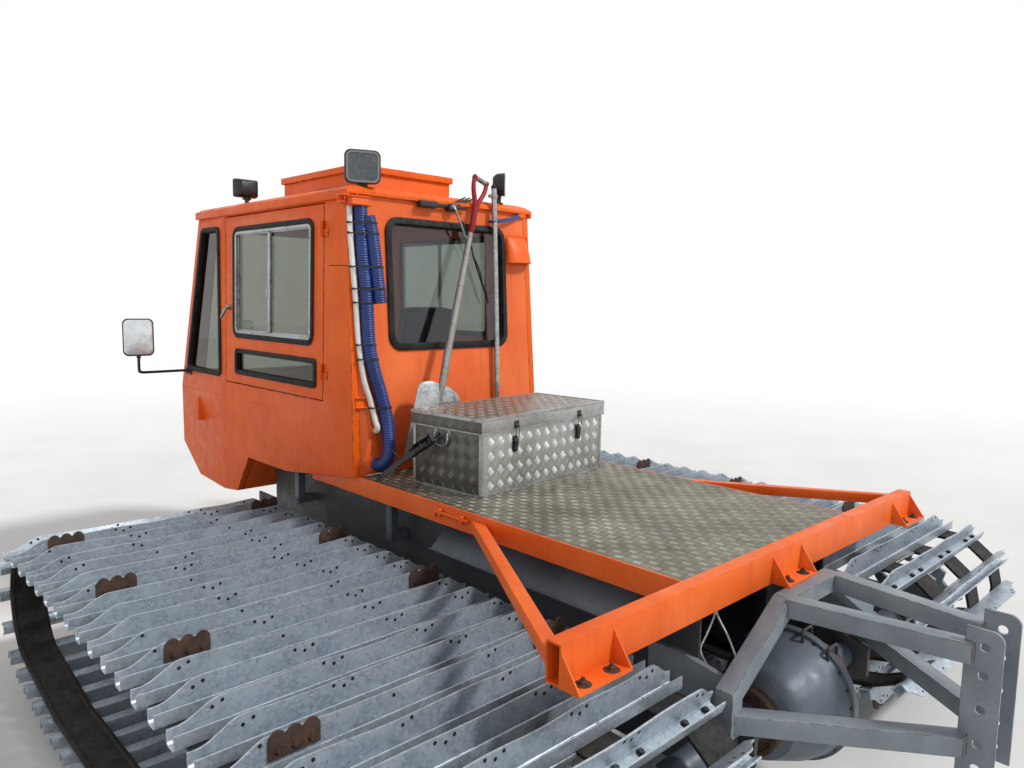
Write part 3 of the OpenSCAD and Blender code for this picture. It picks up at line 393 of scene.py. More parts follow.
def orange_paint(name, base, light, wear=1.0):
    """Hand-painted steel: uneven shade, dents, dirty streaks, rust where it chips along edges."""
    f = Finish(name, Specular_IOR_Level=0.24)
    shade = f.stain(base, light, (2.3, 5, 0.6), 0.35, 0.68)
    shade = f.stain(shade, rgb(168, 66, 26), (38, 6, 0.7), 0.58, 0.78, 0.35)
    shade = f.stain(shade, rgb(150, 74, 40), (5, 6, 0.65), 0.56, 0.8, 0.45, stretch=(5, 5, 0.5))
    chip = f.times(f.edge(), f.cloud((26, 8, 0.75), 0.50, 0.56))
    rust = f.most(chip, f.times(f.cloud((75, 5, 0.6), 0.725, 0.745, warp=0.6), wear * 0.8))
    f.give(Base_Color=f.mix(rust, shade, f.mix(f.noise(160, 3), rgb(70, 40, 26), rgb(128, 76, 48))),
           Roughness=f.most(f.uneven((14, 5), 0.34, 0.56), f.times(rust, 0.85)))
    f.bumps((3.1, 2, 0.32, 0.012), (340, 2, 0.10, 0.0006))
    f.bump(f.times(rust, -1.0), 0.5, 0.0006)
    return f.material


def worn_steel(name, base, light, metallic, rough, scale=1.0, stain=rgb(116, 96, 80), stained=0.3):
    """Bare or galvanised steel with spangles, dull patches and brown stains."""
    f = Finish(name, Metallic=metallic)
    spangle = f.node("ShaderNodeRGBToBW", {"Color": f.cells(70 * scale, "Color")}).outputs["Val"]
    shade = f.stain(f.mix(spangle, base, light), light, (7 * scale, 6, 0.62), 0.42, 0.66, 0.7)
    shade = f.stain(shade, stain, (16 * scale, 7, 0.7), 0.6, 0.74, stained, warp=0.4)
    worn = f.times(f.edge(), f.cloud((30 * scale, 6, 0.7), 0.45, 0.6, 0, 0.8))
    f.give(Base_Color=f.mix(worn, shade, rgb(206, 208, 208)),
           Roughness=f.cloud((22 * scale, 6, 0.6), 0.3, 0.72, rough - 0.1, rough + 0.16))
    return f.bumps((9 * scale, 3, 0.25, 0.003), (220 * scale, 3, 0.14, 0.0006))


def grey_paint(name, base, light):
    """Old paint on heavy steel: rubbed edges, chips and grime."""
    f = Finish(name, Metallic=0.15)
    shade = f.stain(base, light, (4, 6, 0.6), 0.35, 0.66)
    shade = f.stain(shade, rgb(84, 74, 64), (19, 8, 0.72), 0.6, 0.72, 0.5, warp=0.5)
    chip = f.times(f.edge(), f.cloud((24, 8, 0.7), 0.47, 0.54))
    rust = f.most(chip, f.cloud((60, 5, 0.6), 0.69, 0.715))
    f.give(Base_Color=f.mix(rust, shade, f.mix(f.noise(140, 3), rgb(70, 56, 48), rgb(104, 84, 68))),
           Roughness=f.uneven((18, 5), 0.38, 0.62))
    f.bumps((6, 3, 0.25, 0.004), (260, 3, 0.12, 0.0006))
    f.bump(f.times(rust, -1.0), 0.45, 0.0006)
    return f.material


def rubber(name, base=rgb(24, 24, 25), dust=rgb(92, 84, 74)):
    f = Finish(name, Specular_IOR_Level=0.35)
    f.give(Base_Color=f.stain(base, dust, (11, 7, 0.68), 0.42, 0.74, 0.55), Roughness=f.uneven((40, 4), 0.62, 0.86))
    f.bumps((120, 4, 0.3, 0.0012))
    f.bump(f.noise(12, 3, stretch=(1, 7, 1)), 0.2, 0.002)
    return f.material


def plastic(name, base, rough=0.42, grain=420):
    f = Finish(name)
    pale = tuple(min(1, c * 1.7 + 0.01) for c in base[:3]) + (1,)
    f.give(Base_Color=f.stain(base, pale, (6, 6, 0.65), 0.45, 0.72, 0.6),
           Roughness=f.uneven((26, 4), rough - 0.06, rough + 0.14))
    return f.bumps((grain, 3, 0.18, 0.0005))


def glass(name, tint, rough=0.02):
    f = Finish(name, Transmission_Weight=1.0, IOR=1.45)
    film = tuple(c * 0.86 for c in tint[:3]) + (1,)
    f.give(Base_Color=f.stain(tint, film, (5, 6, 0.6), 0.35, 0.8, stretch=(1, 1, 0.4)),
           Roughness=f.cloud((9, 6, 0.7), 0.45, 0.8, rough, rough + 0.02))
    return f.material


def vinyl(name, base):
    f = Finish(name, Sheen_Weight=0.15)
    f.give(Base_Color=f.stain(base, tuple(c * 1.9 for c in base[:3]) + (1,), (7, 5), 0.35, 0.7),
           Roughness=f.uneven((30, 5), 0.38, 0.58))
    f.bump(f.cells(260), 0.12, 0.0005)
    return f.bumps((14, 3, 0.2, 0.003))


def rusty(name, base=rgb(52, 40, 35), light=rgb(92, 66, 52)):
    f = Finish(name, Metallic=0.1)
    shade = f.stain(base, light, (34, 7, 0.7), 0.35, 0.68)
    f.give(Base_Color=f.stain(shade, rgb(44, 32, 28), (9, 5), 0.5, 0.7, 0.5), Roughness=f.uneven((50, 4), 0.7, 0.92))
    f.bump(f.noise(130, 6, 0.7), 0.6, 0.0016)
    return f.material


def chequer(name, base, light, grime, dirt, rough, box=False):
    """Aluminium tread plate with dirt in its hollows. The toolbox is dusty on top, and its left end is darker brown:
    painted shade.
    """
    f = Finish(name, Metallic=0.75)
    shade = f.stain(base, light, (4, 6, 0.6), 0.35, 0.68)
    shade = f.stain(shade, grime, (6.5, 8, 0.72), 0.40, 0.66, dirt, warp=0.3)
    shade = f.stain(shade, rgb(70, 60, 50), (90, 4, 0.7), 0.62, 0.74, dirt)
    if box:
        normal = f.node("ShaderNodeNewGeometry").outputs["True Normal"]
        way = f.node("ShaderNodeSeparateXYZ", {"Vector": normal}).outputs
        # The left end, facing +Y, is darkened brown: painted shade on the side away from the light.
        shade = f.mix(f.between(way["Y"], 0.45, 0.75, 0, 0.82), shade, rgb(56, 51, 40))
        shade = f.mix(f.between(way["Z"], 0.5, 0.8, 0, 0.6), shade, rgb(106, 90, 64))
    f.give(Base_Color=shade, Roughness=f.uneven((20, 6), rough - 0.1, rough + 0.16))
    return f.bumps((5, 2, 0.2, 0.004), (300, 2, 0.12, 0.0004))


# The rear wall's orange is a lighter, more salmon copy of the cab's orange: painted light, as if the sun fell on the
# rear wall.
LIT_REAR_ORANGE = orange_paint("rear_orange_painted_light", rgb(222, 94, 40), rgb(236, 116, 62), wear=1.2)
CAB_ORANGE = orange_paint("cab_orange", rgb(224, 86, 6), rgb(238, 104, 26))
DECK_ORANGE = orange_paint("deck_orange", rgb(220, 88, 22), rgb(238, 112, 44), wear=1.2)
GREY = grey_paint("grey_paint", rgb(108, 117, 125), rgb(134, 143, 150))
# A darker copy of the grey paint for the drive housing: painted shade, as under the beam.
SHADED_HOUSING_GREY = grey_paint("housing_grey_painted_shade", rgb(66, 76, 88), rgb(90, 100, 112))
DEEP_GREY = grey_paint("deep_grey", rgb(38, 41, 45), rgb(58, 61, 65))
# A darker copy of the grey paint for parts under the deck: painted shade.
SHADED_UNDER_GREY = grey_paint("under_grey_painted_shade", rgb(72, 80, 88), rgb(98, 106, 114))
ZINC = worn_steel("galvanised", rgb(140, 152, 165), rgb(190, 200, 208), 0.55, 0.40, scale=1.5)
BARE = worn_steel("bare_steel", rgb(120, 122, 124), rgb(182, 184, 184), 0.85, 0.34)
IRON = worn_steel("engine_iron", rgb(46, 60, 80), rgb(70, 84, 100), 0.4, 0.5, stained=0.5)
DARK_STEEL = worn_steel("dark_steel", rgb(44, 44, 46), rgb(78, 78, 80), 0.7, 0.42)
DULL_STEEL = worn_steel("dull_steel", rgb(112, 110, 106), rgb(150, 146, 140), 0.6, 0.46)
LAMP_BOWL = worn_steel("lamp_bowl", rgb(70, 74, 78), rgb(110, 114, 118), 0.9, 0.22, stained=0.1)
MIRROR_GLASS = worn_steel("mirror_glass", rgb(206, 210, 212), rgb(222, 226, 228), 1.0, 0.14, stained=0.1)
BLACK_RUBBER = rubber("black_rubber")
BELT_RUBBER = rubber("belt_rubber", rgb(24, 24, 25), rgb(74, 68, 60))
GASKET = rubber("gasket", rgb(16, 16, 17), rgb(60, 58, 56))
RUST = rusty("rusty_plate")
DARK = plastic("black_plastic", rgb(22, 22, 24))
GREY_PLASTIC = plastic("grey_plastic", rgb(120, 120, 118))
BLUE = plastic("blue_hose", rgb(16, 44, 104), 0.36, 300)
WHITE = plastic("white_conduit", rgb(214, 214, 208), 0.45)
RED = orange_paint("red_paint", rgb(120, 22, 34), rgb(150, 34, 44))
PANE = glass("window_glass", rgb(222, 236, 246))
# Dark olive tint in the side glass: painted shade for the cab's interior seen through it.
SHADED_SIDE_PANE = glass("side_glass_painted_shade", rgb(126, 126, 106))
LENS = glass("lamp_lens", rgb(226, 230, 232), 0.12)
VINYL = vinyl("seat_vinyl", rgb(34, 34, 38))
DECK_TREAD = chequer("deck_tread", rgb(104, 100, 88), rgb(132, 128, 114), rgb(78, 72, 60), 0.55, 0.44)
DECK_BARS = chequer("deck_bars", rgb(138, 135, 122), rgb(172, 169, 155), rgb(104, 97, 82), 0.5, 0.42)
# With box=True the toolbox's left end is darker brown, painted shade, and its top takes dust.
BOX_TREAD = chequer("box_tread", rgb(160, 162, 160), rgb(192, 194, 192), rgb(120, 112, 100), 0.30, 0.34, box=True)
BOX_BARS = chequer("box_bars", rgb(186, 188, 188), rgb(212, 214, 214), rgb(140, 132, 120), 0.2, 0.28, box=True)
# Near-black discs where the track bars have holes: painted shade for the openings.
HOLE_SHADE = Finish("hole_painted_shade", Roughness=0.9, Base_Color=rgb(14, 14, 15)).material


# Tracks

BAR_PITCH = 0.145
BAR_W = 0.055
BAR_T = 0.006
BAR_BEND = 0.010
LEG_LOW = 0.046
LEG_TALL = 0.098
BELT_T = 0.014
BELT_W = 0.150
BELT_Y = [0.760, 1.085, 1.475, 1.860]
SPROCKET_R = 0.201
WHEEL_Y = 1.280
TYRE_HALF = 0.095
# Lengths over which a tall leg rises from its outer and its inner end
RAMP = 0.155
INNER_RAMP = 0.100
ICE_EVERY = 5
ICE_FIRST = 3
ICE_Y = [0.765, 1.750]
ICE_W = 0.150
ICE_TEETH = 3


def bar_circle(r):
    """Radius at which the bars' seats pass round a wheel of radius r."""
    sag = ((BAR_PITCH * r / (r + BELT_T) - BAR_W) ** 2 - BAR_W ** 2) / (8 * r)
    return r + SEAT + BELT_T + sag


def wheel_of(node):
    """Place along the machine, height and radius of a node that is one wheel."""
    low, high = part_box(node)
    return (low.x + high.x) / 2, (low.z + high.z) / 2, (high.z - low.z) / 2


road_low, road_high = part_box("road_wheels_left")
ROAD_R = (road_high.z - road_low.z) / 2
ROAD_Z = (road_high.z + road_low.z) / 2
ROAD_X = [road_low.x + ROAD_R + (road_high.x - road_low.x - 2 * ROAD_R) * k / 3 for k in range(4)]
IDLER_X, IDLER_Z, IDLER_R = wheel_of("idler_left")
SPROCKET_X, SPROCKET_Z, _ = wheel_of("sprocket_left")
PULLEYS = [(x, z, bar_circle(r)) for x, z, r in (
    (SPROCKET_X, SPROCKET_Z, SPROCKET_R), (IDLER_X, IDLER_Z, IDLER_R), (ROAD_X[-1], ROAD_Z, ROAD_R),
    (ROAD_X[0], ROAD_Z, ROAD_R))]


def track_stations():
    """Place and outward normal of each cross bar, in X and Z, clockwise from the start of the upper run."""
    runs = list(zip(PULLEYS, PULLEYS[1:] + PULLEYS[:1]))
    normals = []
    for a, b in runs:
        d = Vector((b[0] - a[0], b[1] - a[1]))
        s = (a[2] - b[2]) / d.length
        d.normalize()
        normals.append(d * s + Vector((-d.y, d.x)) * math.sqrt(1 - s * s))
    stretches = []
    for (a, b), n, after in zip(runs, normals, normals[1:] + normals[:1]):
        start, end = (Vector(wheel[:2]) + n * wheel[2] for wheel in (a, b))
        now = math.atan2(n.y, n.x)
        turn = (now - math.atan2(after.y, after.x)) % math.tau
        stretches.append(((end - start).length, start, end, n, None, 0))
        stretches.append((turn * b[2], None, None, None, b, now))
    loop = sum(s[0] for s in stretches)
    bars = round(loop / BAR_PITCH)
    out = []
    for k in range(bars):
        s = (k + 0.5) * loop / bars
        for length, start, end, normal, wheel, angle in stretches:
            if s <= length:
                break
            s -= length
        if wheel:
            n = Vector((math.cos(angle - s / wheel[2]), math.sin(angle - s / wheel[2])))
            out.append((Vector(wheel[:2]) + n * wheel[2], n))
        else:
            out.append((start + (end - start).normalized() * s, normal))
    return out


STATIONS = track_stations()
BAR_Y0, BAR_Y1 = (corner.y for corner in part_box("track_left"))
BAR_LEN = BAR_Y1 - BAR_Y0
BAR_STEPS = [0, 0.004, 0.020, 0.034, 0.050, 0.066, 0.082, 0.098, 0.114, 0.130, 0.145, 0.165, 0.20, 0.25, 0.30, 0.36,
             0.42, 0.48, 0.54, 0.60]
BAR_STEPS = BAR_STEPS + [BAR_LEN / 2] + [BAR_LEN - s for s in reversed(BAR_STEPS)]


def on_bar(station, side, a, b, y):
    """Point a ahead of a bar's middle, b above its belts, at y from the machine's middle on that side."""
    place, n = station
    return Vector((place.x + n.y * a + n.x * b, side * y, place.y - n.x * a + n.y * b))


def bar_frame(station, side, a, b, y):
    """Matrix on a bar whose Z points away from the belts and whose X runs across the machine."""
    n = station[1]
    return facing(on_bar(station, side, a, b, y), (n.x, 0, n.y), (0, side, 0))


def bar_face(station, side, a, b, y, ahead):
    """Matrix on a leg's front face, or on its rear face if ahead is -1, whose Z points away from it."""
    n = station[1]
    return facing(on_bar(station, side, a, b, y), (n.y * ahead, 0, -n.x * ahead), (0, 1, 0))


def shoulder(y):
    """Share of its full height that the tall leg has at y: 0 at both ends, 1 between, and an S-curve."""
    inner = (y - BAR_Y0 - 0.004) / (INNER_RAMP - 0.004)
    outer = (BAR_Y1 - 0.025 - y) / (RAMP - 0.025)
    s = min(max(min(inner, outer), 0), 1)
    return s * s * (3 - 2 * s)


def waves(rng):
    """Height, pace and start of the waves that use has bent into a leg."""
    return [(rng.uniform(0.0006, 0.0022), rng.uniform(7, 20), rng.uniform(0, math.tau)) for _ in range(2)]


def wavy(bends, y):
    return sum(high * math.sin(pace * y + start) for high, pace, start in bends)


def crest(y, lift, dents):
    """Height of the tall leg at y, with a shallow saddle in its middle."""
    t = (y - (BAR_Y0 + BAR_Y1) / 2) / (BAR_LEN / 2 - RAMP)
    saddle = 0.007 * max(0, 1 - t * t) + 0.003 + wavy(dents, y)
    return LEG_LOW + (LEG_TALL + lift - LEG_LOW - saddle) * shoulder(y)


def cross_bar(shape, station, side, rng, straight):
    """Bent channel, open outwards, with its bolts, and near-black discs on its tall leg where its holes are: painted
    shade.
    """
    w, t, r = BAR_W / 2, BAR_T, BAR_BEND
    lift = rng.uniform(-0.003, 0.003)
    dents, bends = waves(rng), waves(rng)
    bend = 0 if straight else 1.4
    rings = []
    for y in [BAR_Y0 + s for s in BAR_STEPS]:
        tall = crest(y, lift, dents)
        lean = bend * wavy(bends, y) * shoulder(y)
        profile = [
            (-w, LEG_LOW), (-w, r), (-w + 0.3 * r, 0.3 * r), (-w + r, 0), (w - r, 0), (w - 0.3 * r, 0.3 * r), (w, r),
            (w + lean, tall), (w + lean - t, tall), (w - t, t + 0.006), (w - t - 0.006, t), (-w + t + 0.006, t),
            (-w + t, t + 0.006), (-w + t, LEG_LOW)
        ]
        rings.append([on_bar(station, side, a, b, y) for a, b in profile])
    shape.loft(rings)
    for middle in BELT_Y:
        for step in (-0.055, 0.055):
            shape.bolt(bar_frame(station, side, 0.004, t, middle + step), 0.0105, 0.012, 1)
        along = rng.uniform(-0.05, 0.05)
        for step, b in ((-0.036, 0.079), (-0.006, 0.068), (0.030, 0.080)):
            y = middle + along + step
            tall = crest(y, lift, dents)
            if tall < b + 0.008:
                continue
            lean = bend * wavy(bends, y) * shoulder(y) * (b - r) / (tall - r)
            for face, ahead in ((w + lean + 0.0007, 1), (w + lean - t - 0.0007, -1)):
                # Near-black disc on each face of the leg: painted shade where a hole is.
                shape.lathe(bar_face(station, side, face, b, y, ahead), [(0.0062, -0.0014), (0.0062, 0)], 2, 8)


def ice_plate(shape, station, side, y):
    """Plate with scalloped teeth on the rear face of a tall leg."""
    a = BAR_W / 2 - BAR_T - 0.0005
    edge = [(-ICE_W / 2, 0.030), (ICE_W / 2, 0.030)]
    steps = 7
    for phase in [k / steps for k in range(ICE_TEETH * steps, -1, -1)]:
        tooth = abs(math.sin(math.pi * phase)) ** 0.7
        edge.append((-ICE_W / 2 + ICE_W * phase / ICE_TEETH, 0.086 + 0.0205 * tooth))
    shape.loft([[on_bar(station, side, a - d, b, y + p) for p, b in edge] for d in (0, 0.007)])
    for p in (-0.048, 0, 0.048):
        shape.bolt(bar_face(station, side, a - 0.007, 0.052, y + p, -1), 0.0085, 0.007)


def tyre_guide(shape, station, side):
    """Steel plate inside a bar that a tyre rolls on, with a horn on each side of it."""
    for s in (-1, 1):
        y0, y1 = WHEEL_Y + s * (TYRE_HALF + 0.012), WHEEL_Y + s * (TYRE_HALF + 0.020)
        horn = ((0.024, 0.0), (0.024, -BELT_T), (0.013, -BELT_T - 0.034), (0.007, -BELT_T - 0.040))
        shape.loft([[on_bar(station, side, a, b, y) for a, y in ((-half, y0), (half, y0), (half, y1), (-half, y1))]
                    for half, b in horn])
    shape.block(bar_frame(station, side, 0, -BELT_T / 2, WHEEL_Y), (2 * TYRE_HALF + 0.044, 0.054, BELT_T))


def belt(shape, side, y):
    """Rubber belt under all the bars, with a rib along each edge."""
    h = BELT_W / 2
    half = [(h - 0.002, 0), (h, -0.002), (h, -BELT_T + 0.002), (h - 0.003, -BELT_T), (h - 0.016, -BELT_T),
            (h - 0.020, -BELT_T + 0.003)]
    profile = half + [(-p, b) for p, b in reversed(half)]
    shape.loft([[on_bar(station, side, a, b, y + p) for p, b in profile]
                for station in STATIONS for a in (-BAR_W / 2, BAR_W / 2)], closed=True)


def track(side, name):
    rng = random.Random(11 if side > 0 else 12)
    bars, belts, plates, guides = Shape(), Shape(), Shape(), Shape()
    for k, station in enumerate(STATIONS):
        plated = k % ICE_EVERY == ICE_FIRST
        cross_bar(bars, station, side, rng, plated)
        tyre_guide(guides, station, side)
        for y in ICE_Y if plated else []:
            ice_plate(plates, station, side, y)
    for y in BELT_Y:
        belt(belts, side, y)
    piece = bars.piece(f"{name}_bars", ZINC, DARK_STEEL, HOLE_SHADE, slot="galvanised_steel")
    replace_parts(piece, name)
    belts.piece(f"{name}_belts", BELT_RUBBER, slot="wheel_rubber")
    plates.piece(f"{name}_ice_plates", RUST, slot="bare_steel")
    guides.piece(f"{name}_tyre_guides", BARE, slot="bare_steel")


# Wheels

RIM = 0.150


def tyred_wheel(tyre, rim, x, z, r, side):
    """Tyre with ribbed tread and a dished rim with nuts, on an axis across the machine."""
    h = TYRE_HALF
    m = facing((x, side * WHEEL_Y, z), (0, side, 0))
    half = [(0, r - 0.006), (0.010, r - 0.006), (0.012, r), (0.032, r), (0.034, r - 0.006), (0.042, r - 0.006),
            (0.044, r - 0.001), (0.062, r - 0.003), (0.076, r - 0.012), (0.087, r - 0.026), (h, r - 0.048),
            (h - 0.002, RIM + 0.020), (h - 0.005, RIM + 0.006), (h - 0.014, RIM - 0.002)]
    tread_profile = [(rr, -y) for y, rr in reversed(half)] + [(rr, y) for y, rr in half[1:]]
    tyre.lathe(m, tread_profile + [(RIM - 0.006, h - 0.030), (RIM - 0.006, 0.030 - h)], sides=56, caps=False)
    face = [(0.0, 0.066), (0.022, 0.066), (0.028, 0.058), (0.060, 0.058), (0.066, 0.052), (0.070, 0.014),
            (0.098, 0.010), (0.112, 0.012), (0.126, 0.030), (0.133, 0.066), (0.140, h - 0.014),
            (RIM + 0.002, h - 0.008), (RIM + 0.006, h - 0.014), (RIM - 0.003, h - 0.022)]
    back = [(RIM - 0.003, 0.022 - h), (RIM + 0.006, 0.014 - h), (RIM + 0.002, 0.008 - h), (0.140, 0.014 - h),
            (0.130, -0.030), (0.120, -0.004), (0.070, -0.006), (0.068, -0.056), (0.0, -0.058)]
    rim.lathe(m, face + back, sides=40, caps=False)
    rim.bolt_circle(m, 0.088, 0.011, 6, 0.011, 0.016, 1)


def wheels(side, hand):
    for node, places in (
        (f"road_wheels_{hand}", [(x, ROAD_Z, ROAD_R) for x in ROAD_X]),
        (f"idler_{hand}", [(IDLER_X, IDLER_Z, IDLER_R)]),
    ):
        tyres, rims = Shape(), Shape()
        for x, z, r in places:
            tyred_wheel(tyres, rims, x, z, r, side)
        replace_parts(tyres.piece(f"{node}_tyres", BLACK_RUBBER, slot="wheel_rubber"), node)
        rims.piece(f"{node}_rims", GREY, BARE, slot="grey_paint")


# Planes of the cab and the toolbox

REAR_FOOT = Vector((0.241, 0, DECK_Z))
REAR_UP = (Vector((0.331, 0, ROOF_Z)) - REAR_FOOT).normalized()
BROW = Vector((2.440, 0, 1.270))
SHIELD = Vector((2.125, 0, ROOF_Z)) - BROW
BOX_PLACE = at(-0.205, -0.008, DECK_Z) @ spun(math.radians(5), "Z")
BOX_W, BOX_LEN, BOX_RIM, BOX_H = 0.450, 0.930, 0.316, 0.360
LID_OUT = 0.010
LID_LIP_Z = BOX_RIM - 0.026


def side_y(z):
    return CAB_HALF - (z - DECK_Z) * math.tan(SIDE_LEAN)


def on_side(side, x, z, out=0.0):
    """Matrix on a side wall's outer face: X along the machine, Y up the wall, Z outwards."""
    normal = Vector((0, side * math.cos(SIDE_LEAN), math.sin(SIDE_LEAN)))
    return facing(Vector((x, side * side_y(z), z)) + normal * out, normal, (-side, 0, 0))


def on_rear(y, z, out=0.0):
    """Matrix on the rear wall's outer face: X to the right, Y up the wall, Z outwards."""
    normal = Vector((-REAR_UP.z, 0, REAR_UP.x))
    place = REAR_FOOT + REAR_UP * ((z - DECK_Z) / REAR_UP.z) + Vector((0, y, 0))
    return facing(place + normal * out, normal, (0, -1, 0))


def rear_point(y, z, out=0.0):
    return on_rear(y, z, out).translation


def box_face(x, y, z, normal, across):
    """Matrix on the toolbox, whose own axes its numbers are in."""
    return BOX_PLACE @ facing((x, y, z), normal, across)


def upright(origin, z):
    """Matrix at origin whose Z runs along the level direction z and whose Y points up."""
    return facing(origin, z, Vector((0, 0, 1)).cross(Vector(z)))


def turned_to(place, way):
    """Matrix at place whose Z axis is turned to way by the shortest turn."""
    m = Vector((0, 0, 1)).rotation_difference(way).to_matrix().to_4x4()
    m.translation = place
    return m


# Windows

PANE_DEEP = 0.0172
TRIM = [(0.018, 0.001), (0.018, 0.006), (0.012, 0.010), (-0.004, 0.010), (-0.010, 0.004), (-0.010, -PANE_DEEP),
        (0, -PANE_DEEP), (0, 0.001)]
ALU_TRIM = [(-0.0098, -PANE_DEEP), (-0.0098, 0.004), (-0.012, 0.006), (-0.026, 0.006), (-0.028, 0.004),
            (-0.028, -0.008), (-0.034, -0.010), (-0.034, -PANE_DEEP)]
DOOR_WINDOW = (0.660, 1.593, 1.655, 2.285)
STRIP_WINDOW = (0.627, 1.567, 1.433, 1.555)
QUARTER = [(1.806, 1.400), (1.826, 2.300), (2.070, 2.300), (2.320, 1.400)]
QUARTER_MIDDLE = (2.0, 1.85)
DIVIDER_X = 1.149


def thicker(profile, factor):
    return [(o * factor if o > 0 else o, h * factor if h > 0 else h) for o, h in profile]


def side_windows(side, hand):
    trim, frames, quarter = Shape(), Shape(), Shape()
    x0, x1, z0, z1 = DOOR_WINDOW
    m = on_side(side, (x0 + x1) / 2, (z0 + z1) / 2)
    path = rounded(x1 - x0, z1 - z0, 0.045)
    trim.ring(m, path, TRIM)
    frames.ring(m, path, ALU_TRIM)

    def at_divider(step, y, z):
        return m @ at(-side * (DIVIDER_X + step - (x0 + x1) / 2), y, z)
    for step, wide in ((0, 0.016), (0.016, 0.012)):
        frames.block(at_divider(step, 0, -0.009), (wide, z1 - z0 - 0.058, 0.014), 0.002)
    frames.block(at_divider(0.03, -0.06, -0.004), (0.014, 0.050, 0.012))
    x2, x3, z2, z3 = STRIP_WINDOW
    trim.ring(on_side(side, (x2 + x3) / 2, (z2 + z3) / 2), rounded(x3 - x2, z3 - z2, 0.008), TRIM)
    middle_x, middle_z = QUARTER_MIDDLE
    corners = [(-side * (x - middle_x), (z - middle_z) / math.cos(SIDE_LEAN)) for x, z in QUARTER]
    quarter.ring(on_side(side, middle_x, middle_z), round_corners(corners[::side], 0.030), thicker(TRIM, 1.15))
    trim.piece(f"door_trim_{hand}", GASKET, body=f"door_{hand}", slot="wheel_rubber")
    frames.piece(f"door_window_frame_{hand}", BARE, body=f"door_{hand}", slot="bare_steel")
    quarter.piece(f"quarter_trim_{hand}", GASKET, slot="wheel_rubber")


def end_windows():
    trim = Shape()
    trim.ring(on_rear(-0.008, 1.967), rounded(0.776, 0.630, 0.050, 8), thicker(TRIM, 1.5))
    shield = facing(BROW + SHIELD / 2, (SHIELD.z, 0, -SHIELD.x), (0, 1, 0))
    trim.ring(shield, rounded(0.9977, 1.013, 0.060, 8), thicker(TRIM, 1.3))
    trim.piece("end_window_trims", GASKET, slot="wheel_rubber")


# Rear wall fittings

# Places of the hoses and the conduit: along the machine, inside the cab's half width, height
HOSE = [(0.291, 0.077, 2.341), (0.287, 0.077, 2.290), (0.281, 0.078, 2.200), (0.273, 0.082, 2.080),
        (0.263, 0.090, 1.933), (0.254, 0.092, 1.786), (0.246, 0.096, 1.663), (0.238, 0.118, 1.538),
        (0.228, 0.154, 1.411), (0.212, 0.178, 1.284), (0.188, 0.172, 1.190), (0.169, 0.160, 1.128),
        (0.169, 0.142, 1.088)]
CONDUIT = [(0.311, 0.029, 2.340), (0.303, 0.029, 2.213), (0.293, 0.035, 2.060), (0.282, 0.043, 1.890),
           (0.269, 0.049, 1.690), (0.256, 0.070, 1.500), (0.246, 0.096, 1.400), (0.240, 0.112, 1.335),
           (0.229, 0.121, 1.280), (0.220, 0.126, 1.252)]
STUB = [(0.262, 0.106, 2.290), (0.252, 0.118, 2.210), (0.244, 0.128, 2.110), (0.238, 0.138, 2.010),
        (0.232, 0.146, 1.920), (0.228, 0.150, 1.868)]
HOSE_R = 0.035
CONDUIT_R = 0.014
RIB = 0.012
TIE_Z = (2.255, 2.205, 2.042, 1.935, 1.868, 1.660, 1.588, 1.345)
LONG_TIE_Z = 2.042


def in_corner(route):
    return [Vector((x, CAB_HALF - y, z)) for x, y, z in route]


def resampled(path, step):
    """Points every step along a path."""
    out = [path[0]]
    left = step
    for a, b in zip(path, path[1:]):
        length = (b - a).length
        while left < length:
            out.append(a.lerp(b, left / length))
            left += step
        left -= length
    return out + [path[-1]]


def ribbed(shape, route):
    """Corrugated hose."""
    path = resampled(smooth_path(route, 10), RIB / 4)
    last = len(path) - 1
    shape.tube(path, lambda t: HOSE_R * (1 - 0.085 * (0, 0.5, 1, 0.5)[round(t * last) % 4]), sides=20)


def at_height(path, z):
    for a, b in zip(path, path[1:]):
        if (a.z - z) * (b.z - z) <= 0 and a.z != b.z:
            return a.lerp(b, (a.z - z) / (a.z - b.z))
    return path[-1]


def tie_band(shape, rounds, z):
    """Narrow strap round several pipes, given as (centre, radius), at height z."""
    rings = []
    for x, y in circle(36):
        way = Vector((x, y, 0))
        centre, r = max(rounds, key=lambda c: c[0].dot(way) + c[1])
        inner = Vector((centre.x, centre.y, z)) + way * (r + 0.0002)
        rings.append([inner + way * out + Vector((0, 0, up))
                      for out, up in ((0, 0), (0.0022, 0), (0.0022, 0.007), (0, 0.007))])
    shape.loft(rings, closed=True)


